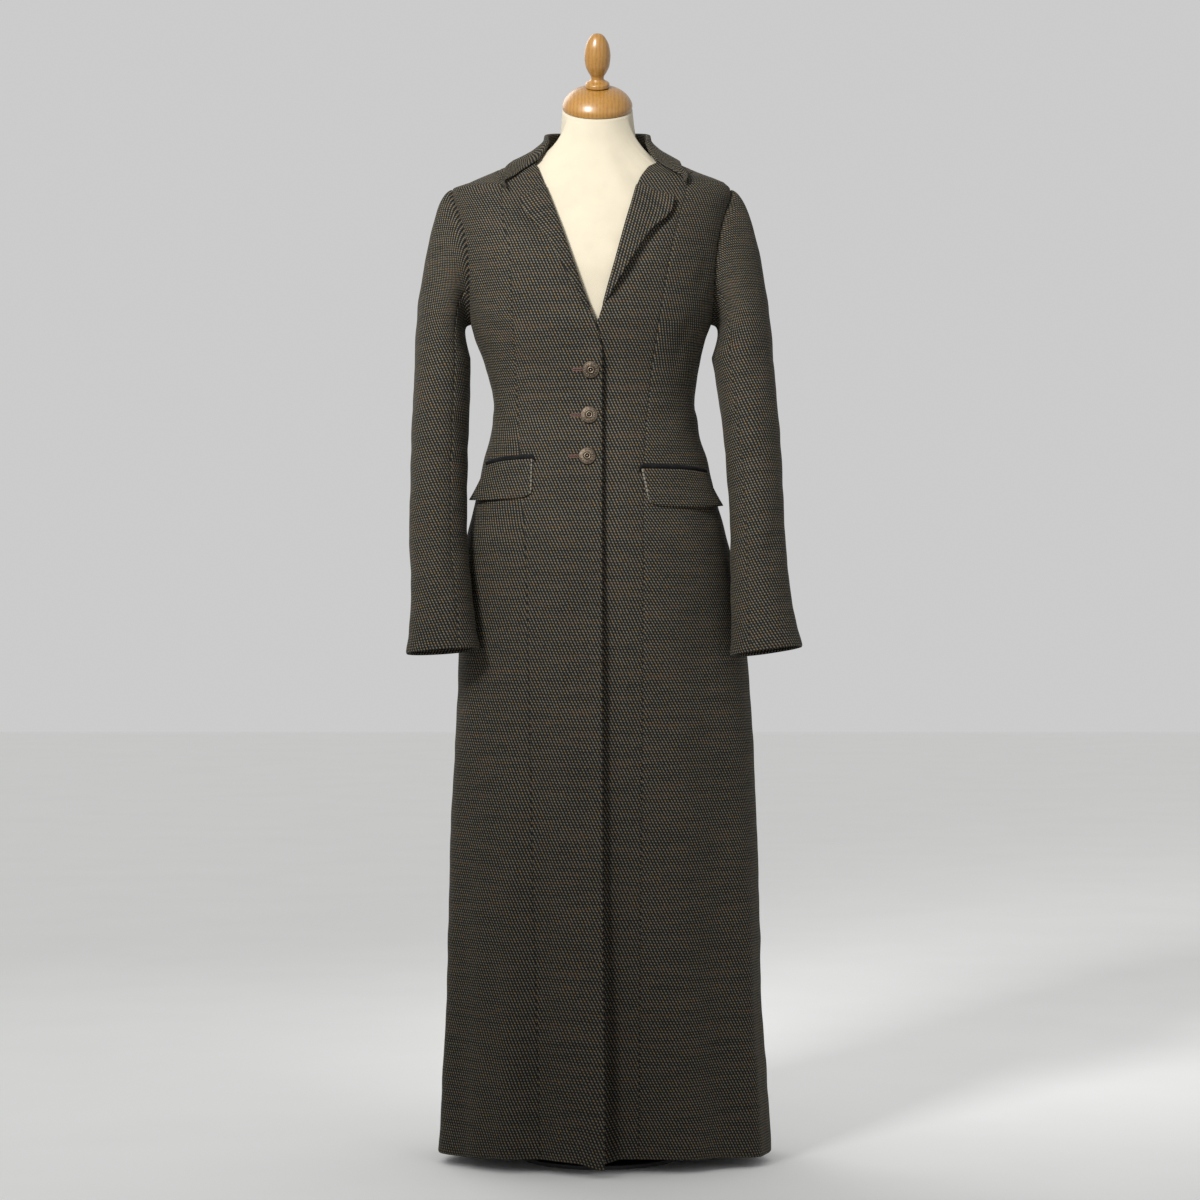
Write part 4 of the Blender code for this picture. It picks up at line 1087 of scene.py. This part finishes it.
def repeat_along(name, points, count, radius, stretch, material, closed=False):
    """Geometry Nodes: beads set along a path and turned with it, realised as one mesh."""
    mesh = bpy.data.meshes.new(name)
    edges = [(i, i + 1) for i in range(len(points) - 1)] + ([(len(points) - 1, 0)] if closed else [])
    mesh.from_pydata([tuple(p) for p in points], edges, [])
    path = bpy.data.objects.new(name, mesh)
    bpy.context.scene.collection.objects.link(path)
    tree = bpy.data.node_groups.new(name + "_beads", "GeometryNodeTree")
    sockets = {}
    for key, kind in (("Geometry", "Geometry"), ("Count", "Int"), ("Radius", "Float"), ("Stretch", "Vector")):
        socket = tree.interface.new_socket(key, in_out="INPUT", socket_type="NodeSocket" + kind)
        sockets[key] = socket.identifier
    tree.interface.new_socket("Geometry", in_out="OUTPUT", socket_type="NodeSocketGeometry")
    given = add(tree, "NodeGroupInput").outputs
    curve = add(tree, "GeometryNodeMeshToCurve", {"Mesh": given["Geometry"]})
    spaced = add(tree, "GeometryNodeResampleCurve", {"Curve": curve.outputs["Curve"],
                                                     "Count": given["Count"]})
    tangent = add(tree, "GeometryNodeInputTangent")
    turn = add(tree, "FunctionNodeAlignRotationToVector", {"Vector": tangent.outputs["Tangent"]}, axis="X")
    bead = add(tree, "GeometryNodeMeshIcoSphere", {"Radius": given["Radius"], "Subdivisions": 2})
    beads = add(tree, "GeometryNodeInstanceOnPoints", {
        "Points": spaced.outputs["Curve"], "Instance": bead.outputs["Mesh"],
        "Rotation": turn.outputs["Rotation"], "Scale": given["Stretch"]})
    real = add(tree, "GeometryNodeRealizeInstances", {"Geometry": beads.outputs["Instances"]})
    coloured = add(tree, "GeometryNodeSetMaterial", {"Geometry": real.outputs["Geometry"],
                                                     "Material": material})
    add(tree, "NodeGroupOutput", {"Geometry": coloured.outputs["Geometry"]})
    modifier = path.modifiers.new("beads", "NODES")
    modifier.node_group = tree
    for key, value in (("Count", count), ("Radius", radius), ("Stretch", stretch)):
        modifier[sockets[key]] = value
    graph = bpy.context.evaluated_depsgraph_get()
    made = bpy.data.meshes.new_from_object(path.evaluated_get(graph))
    bpy.data.objects.remove(path, do_unlink=True)
    made.name = name
    made.shade_smooth()
    return made


def button_frame(x, z):
    """Place of a button on the lapped edge, with its axis along Z."""
    x, z = np.array(x), np.array(z)
    angle = angle_at(x, z)
    seat = skin(z, angle, over_edge(z, angle) + body_creases(z, angle) + 0.0010)
    turn = Vector(normal(z, angle)).to_track_quat("Z", "Y").to_matrix().to_4x4()
    return Matrix.Translation(Vector(seat)) @ turn


class COAT_OT_buttons(CoatOperator):
    """Turn the domed buttons and bead their rims"""
    bl_idname = "coat.buttons"
    bl_label = "Buttons"

    def execute(self, context):
        pewter = shared_material(context, "antiqued_pewter")
        profile = refined(BUTTON_PROFILE, 3)
        raised = np.array([h for _, h in profile])
        radii = np.array([r for r, _ in profile])
        worn = np.where(raised > 0.0049, 1.0, 0.30)
        worn[(raised < 0.0045) & (radii < 0.0030) | (np.abs(radii - 0.0050) < 0.0004)] = 0.05
        for number, (x, z) in enumerate(BUTTONS, start=1):
            place = button_frame(x, z)
            disc = turned_mesh(f"button_{number}", profile, 64, place, pewter, worn)
            button = add_object(f"button_{number}_metal", disc, f"button_{number}")
            for name, radius, height, count, bead, shape in (
                    ("rim", 0.0101, 0.0026, 36, 0.00055, (1.0, 1.0, 1.0)),
                    ("petal", 0.0076, 0.0031, 16, 0.00115, (0.7, 0.6, 1.3))):
                circle = [place @ Vector((radius * cos(t), radius * sin(t), height))
                          for t in np.linspace(0, 2 * pi, 48, endpoint=False)]
                beads = repeat_along(f"button_{number}_{name}", circle, count, bead, shape, pewter, True)
                layer = beads.attributes.new("worn", "FLOAT", "POINT")
                layer.data.foreach_set("value", np.full(len(beads.vertices), 0.48, np.float32))
                extra = add_object(f"button_{number}_{name}_beads", beads, None)
                extra.parent = button
        return {"FINISHED"}


class COAT_OT_buttonholes(CoatOperator):
    """Work the buttonholes with close purl stitches"""
    bl_idname = "coat.buttonholes"
    bl_label = "Buttonholes"

    def execute(self, context):
        twist, dark = (shared_material(context, name) for name in ("silk_twist", "satin_lining"))
        for number, (x, z) in enumerate(BUTTONS, start=1):
            # The slit between the stitched lips is a row of dark satin beads: painted shade in the open cut.
            for name, offset, start, end, count, bead, silk in (
                    ("upper", 0.0014, x - 0.0235, x - 0.0095, 24, 0.00058, twist),
                    ("lower", -0.0014, x - 0.0235, x - 0.0095, 24, 0.00058, twist),
                    ("bar", 0.0, x - 0.0250, x - 0.0238, 4, 0.00058, twist),
                    ("slit", 0.0, x - 0.0230, x - 0.0095, 30, 0.00062, dark)):
                xs = np.linspace(start, end, 16)
                level = z + offset + 0 * xs
                angle = angle_at(xs, level)
                spots = skin(level, angle, over_edge(level, angle) + body_creases(level, angle) + 0.0003)
                stitches = repeat_along(f"buttonhole_{number}_{name}", spots, count, bead, STITCH, silk)
                add_object(f"buttonhole_{number}_{name}_stitches", stitches, None)
        return {"FINISHED"}


def neck_ring(index, angle):
    """Tilted ring of the form's neck."""
    x, y, z, radius, tilt = NECK_RINGS[index]
    ahead = radius * np.cos(angle)
    tilt = radians(tilt)
    return np.stack([x + radius * np.sin(angle), y - ahead * cos(tilt), z - ahead * sin(tilt)], -1)


class COAT_OT_torso(CoatOperator):
    """Cover the form's torso with cotton"""
    bl_idname = "coat.torso"
    bl_label = "Form Torso"

    def execute(self, context):
        cotton = shared_material(context, "cotton_drill")
        angle = np.linspace(-pi, pi, 128, endpoint=False)
        rows = []
        for z in np.linspace(TORSO_FOOT + 0.012, TORSO_TOP, 110):
            level = z + 0 * angle
            rows.append(skin(level, angle, -CLOTH - form_ease(level)))
        foot = skin(TORSO_FOOT + 0 * angle, angle, -CLOTH - form_ease(TORSO_FOOT) - 0.008)
        inner = foot.copy()
        inner[:, :2] = (0.0, STAND_Y) + (foot[:, :2] - (0.0, STAND_Y)) * 0.35
        rows = [inner, foot] + rows
        last = rows[-1]
        stops = [last] + [neck_ring(i, angle) for i in range(len(NECK_RINGS))]
        before = rows[-8]
        # One smooth curve leads from the shoulders through the rings of the neck.
        knots = [before] + stops + [2 * stops[-1] - stops[-2]]
        for i in range(1, len(knots) - 2):
            for t in np.linspace(0, 1, 9)[1:]:
                p0, p1, p2, p3 = knots[i - 1:i + 3]
                rows.append(0.5 * (2 * p1 + (p2 - p0) * t + (2 * p0 - 5 * p1 + 4 * p2 - p3) * t * t
                                   + (3 * p1 - p0 - 3 * p2 + p3) * t ** 3))
        # The neck flows out of the chest in front, where the coat is open.
        right, left = smooth(EDGE_RIGHT), smooth(EDGE_LEFT)
        bare = [np.minimum(row[:, 0] - right(row[:, 2]), left(row[:, 2]) - row[:, 0]) for row in rows]
        front = [(fade(np.cos(angle), 0.30, 0.60) * fade(room, 0.0, 0.016))[:, None] for room in bare]
        chest, passes = 100, 60
        for _ in range(passes):
            for i in range(chest, len(rows) - 2):
                rows[i] = rows[i] + front[i] * (0.5 * (rows[i - 1] + rows[i + 1]) - rows[i])
        points = np.concatenate(rows + [[(0.0, STAND_Y, TORSO_FOOT)], [NECK_RINGS[-1][:3]]])
        count, around = len(rows), len(angle)
        faces = []
        for j in range(around):
            after = (j + 1) % around
            faces.append((j, after, count * around))
            faces.append(((count - 1) * around + after, (count - 1) * around + j, count * around + 1))
        grid = np.arange(count * around).reshape(count, around)
        nxt = np.roll(grid, -1, axis=1)
        faces += np.stack([grid[:-1], grid[1:], nxt[1:], nxt[:-1]], -1).reshape(-1, 4).tolist()
        mesh = bpy.data.meshes.new("form_torso")
        mesh.from_pydata(points.tolist(), [], faces)
        bm = bmesh.new()
        bm.from_mesh(mesh)
        bmesh.ops.recalc_face_normals(bm, faces=bm.faces[:])
        bm.to_mesh(mesh)
        bm.free()
        mesh.materials.append(cotton)
        mesh.shade_smooth()
        add_object("form_torso_cotton", mesh, "form_torso")
        return {"FINISHED"}


class COAT_OT_wood(CoatOperator):
    """Turn the neck cap and the finial"""
    bl_idname = "coat.wood"
    bl_label = "Neck Cap and Finial"

    def execute(self, context):
        form = context.scene.form
        beech = shared_material(context, "varnished_beech")
        x, y, z, _, tilt = NECK_RINGS[-1]
        lean = Matrix.Translation((x, y, z)) @ Matrix.Rotation(radians(tilt), 4, "X")
        for node, profile, lift in (("form_neck_cap", CAP_PROFILE, SEAM_GAP),
                                    ("form_finial", FINIAL_PROFILE, CAP_PROFILE[0][1] + 2 * SEAM_GAP)):
            place = lean @ Matrix.Translation((0, 0, lift))
            mesh = turned_mesh(node, refined(profile), form.turning_steps, place, beech)
            add_object(node + "_wood", mesh, node)
        return {"FINISHED"}


class COAT_OT_stand(CoatOperator):
    """Turn the pole and the weighted foot"""
    bl_idname = "coat.stand"
    bl_label = "Stand"

    def execute(self, context):
        form = context.scene.form
        enamel = shared_material(context, "stove_enamel")
        low, high = BASE_PROFILE[0][1] + SEAM_GAP, TORSO_FOOT - SEAM_GAP
        pole = ((0, high), (POLE_RADIUS - 0.001, high), (POLE_RADIUS, high - 0.001),
                (POLE_RADIUS, low + 0.03), (POLE_RADIUS + 0.002, low + 0.028),
                (POLE_RADIUS + 0.002, low + 0.001), (POLE_RADIUS + 0.001, low), (0, low))
        place = Matrix.Translation((0, STAND_Y, 0))
        for name, node, profile, steps in (
                ("stand_foot_iron", "stand_base", refined(BASE_PROFILE), form.turning_steps),
                ("stand_pole_iron", "stand_pole", pole, 48)):
            add_object(name, turned_mesh(node, profile, steps, place, enamel), node)
        return {"FINISHED"}


class COAT_OT_stage(CoatOperator):
    """Lay the pale floor and set the studio light and camera"""
    bl_idname = "coat.stage"
    bl_label = "Stage"

    def execute(self, context):
        scene = context.scene
        settings = scene.stage
        self.floor(scene, settings)
        for name, spot, aim, size, power, beam in LIGHTS:
            light = bpy.data.lights.new(name, "AREA")
            light.energy, light.size, light.spread = power, size, radians(beam)
            self.point(scene, light, spot, aim)
        world = bpy.data.worlds.new("studio")
        world.use_nodes = True
        background = world.node_tree.nodes["Background"].inputs
        background["Color"].default_value = (1.0, 1.0, 1.0, 1.0)
        background["Strength"].default_value = 0.60
        scene.world = world
        scene.view_settings.view_transform = "Standard"
        camera = bpy.data.cameras.new("front_view")
        camera.sensor_width = 36.0
        camera.lens = camera.sensor_width * settings.distance / settings.view_width
        spot = (0.0, -settings.distance, settings.eye_height)
        scene.camera = self.point(scene, camera, spot, (0.0, 0.0, settings.aim_height))
        return {"FINISHED"}

    def point(self, scene, data, spot, aim):
        """Place a light or camera, turned to its aim."""
        obj = bpy.data.objects.new(data.name, data)
        obj.location = spot
        obj.rotation_euler = (Vector(aim) - Vector(spot)).to_track_quat("-Z", "Y").to_euler()
        scene.collection.objects.link(obj)
        return obj

    def floor(self, scene, settings):
        """Seamless pale floor with a faint mottle."""
        material, tree, spot = new_material("studio_paper", "object")
        mottle = noise(tree, spot, 0.25)
        tone = ramp(tree, mottle, (0.3, shaded(settings.floor, 0.98)), (0.7, settings.floor))
        finish_material(tree, tone, 0.9)
        bm = bmesh.new()
        bmesh.ops.create_grid(bm, x_segments=8, y_segments=8, size=12.0)
        mesh = bpy.data.meshes.new("studio_floor")
        bm.to_mesh(mesh)
        bm.free()
        mesh.materials.append(material)
        obj = bpy.data.objects.new("studio_floor", mesh)
        scene.collection.objects.link(obj)


PIECES = (COAT_OT_body, COAT_OT_sleeves, COAT_OT_lapels, COAT_OT_collar, COAT_OT_pockets, COAT_OT_buttons,
          COAT_OT_buttonholes, COAT_OT_torso, COAT_OT_wood, COAT_OT_stand, COAT_OT_stage)


class COAT_PT_sidebar(bpy.types.Panel):
    """Lists the steps that make the coat"""
    bl_idname = "COAT_PT_sidebar"
    bl_label = "Tweed Coat"
    bl_space_type = "VIEW_3D"
    bl_region_type = "UI"
    bl_category = "Coat"

    def draw(self, context):
        for piece in PIECES:
            self.layout.operator(piece.bl_idname)
        for group in (context.scene.coat, context.scene.form, context.scene.stage):
            box = self.layout.box()
            for name in group.__annotations__:
                box.prop(group, name)


CLASSES = (CoatSettings, FormSettings, StageSettings, *PIECES, COAT_PT_sidebar)


def register():
    for cls in CLASSES:
        bpy.utils.register_class(cls)
    bpy.types.Scene.coat = PointerProperty(type=CoatSettings)
    bpy.types.Scene.form = PointerProperty(type=FormSettings)
    bpy.types.Scene.stage = PointerProperty(type=StageSettings)


def unregister():
    del bpy.types.Scene.coat, bpy.types.Scene.form, bpy.types.Scene.stage
    for cls in reversed(CLASSES):
        bpy.utils.unregister_class(cls)


def main():
    register()
    bpy.ops.coat.body()
    bpy.ops.coat.sleeves()
    bpy.ops.coat.lapels()
    bpy.ops.coat.collar()
    bpy.ops.coat.pockets()
    bpy.ops.coat.buttons()
    bpy.ops.coat.buttonholes()
    bpy.ops.coat.torso()
    bpy.ops.coat.wood()
    bpy.ops.coat.stand()
    bpy.ops.coat.stage()


if __name__ == "__main__":
    main()
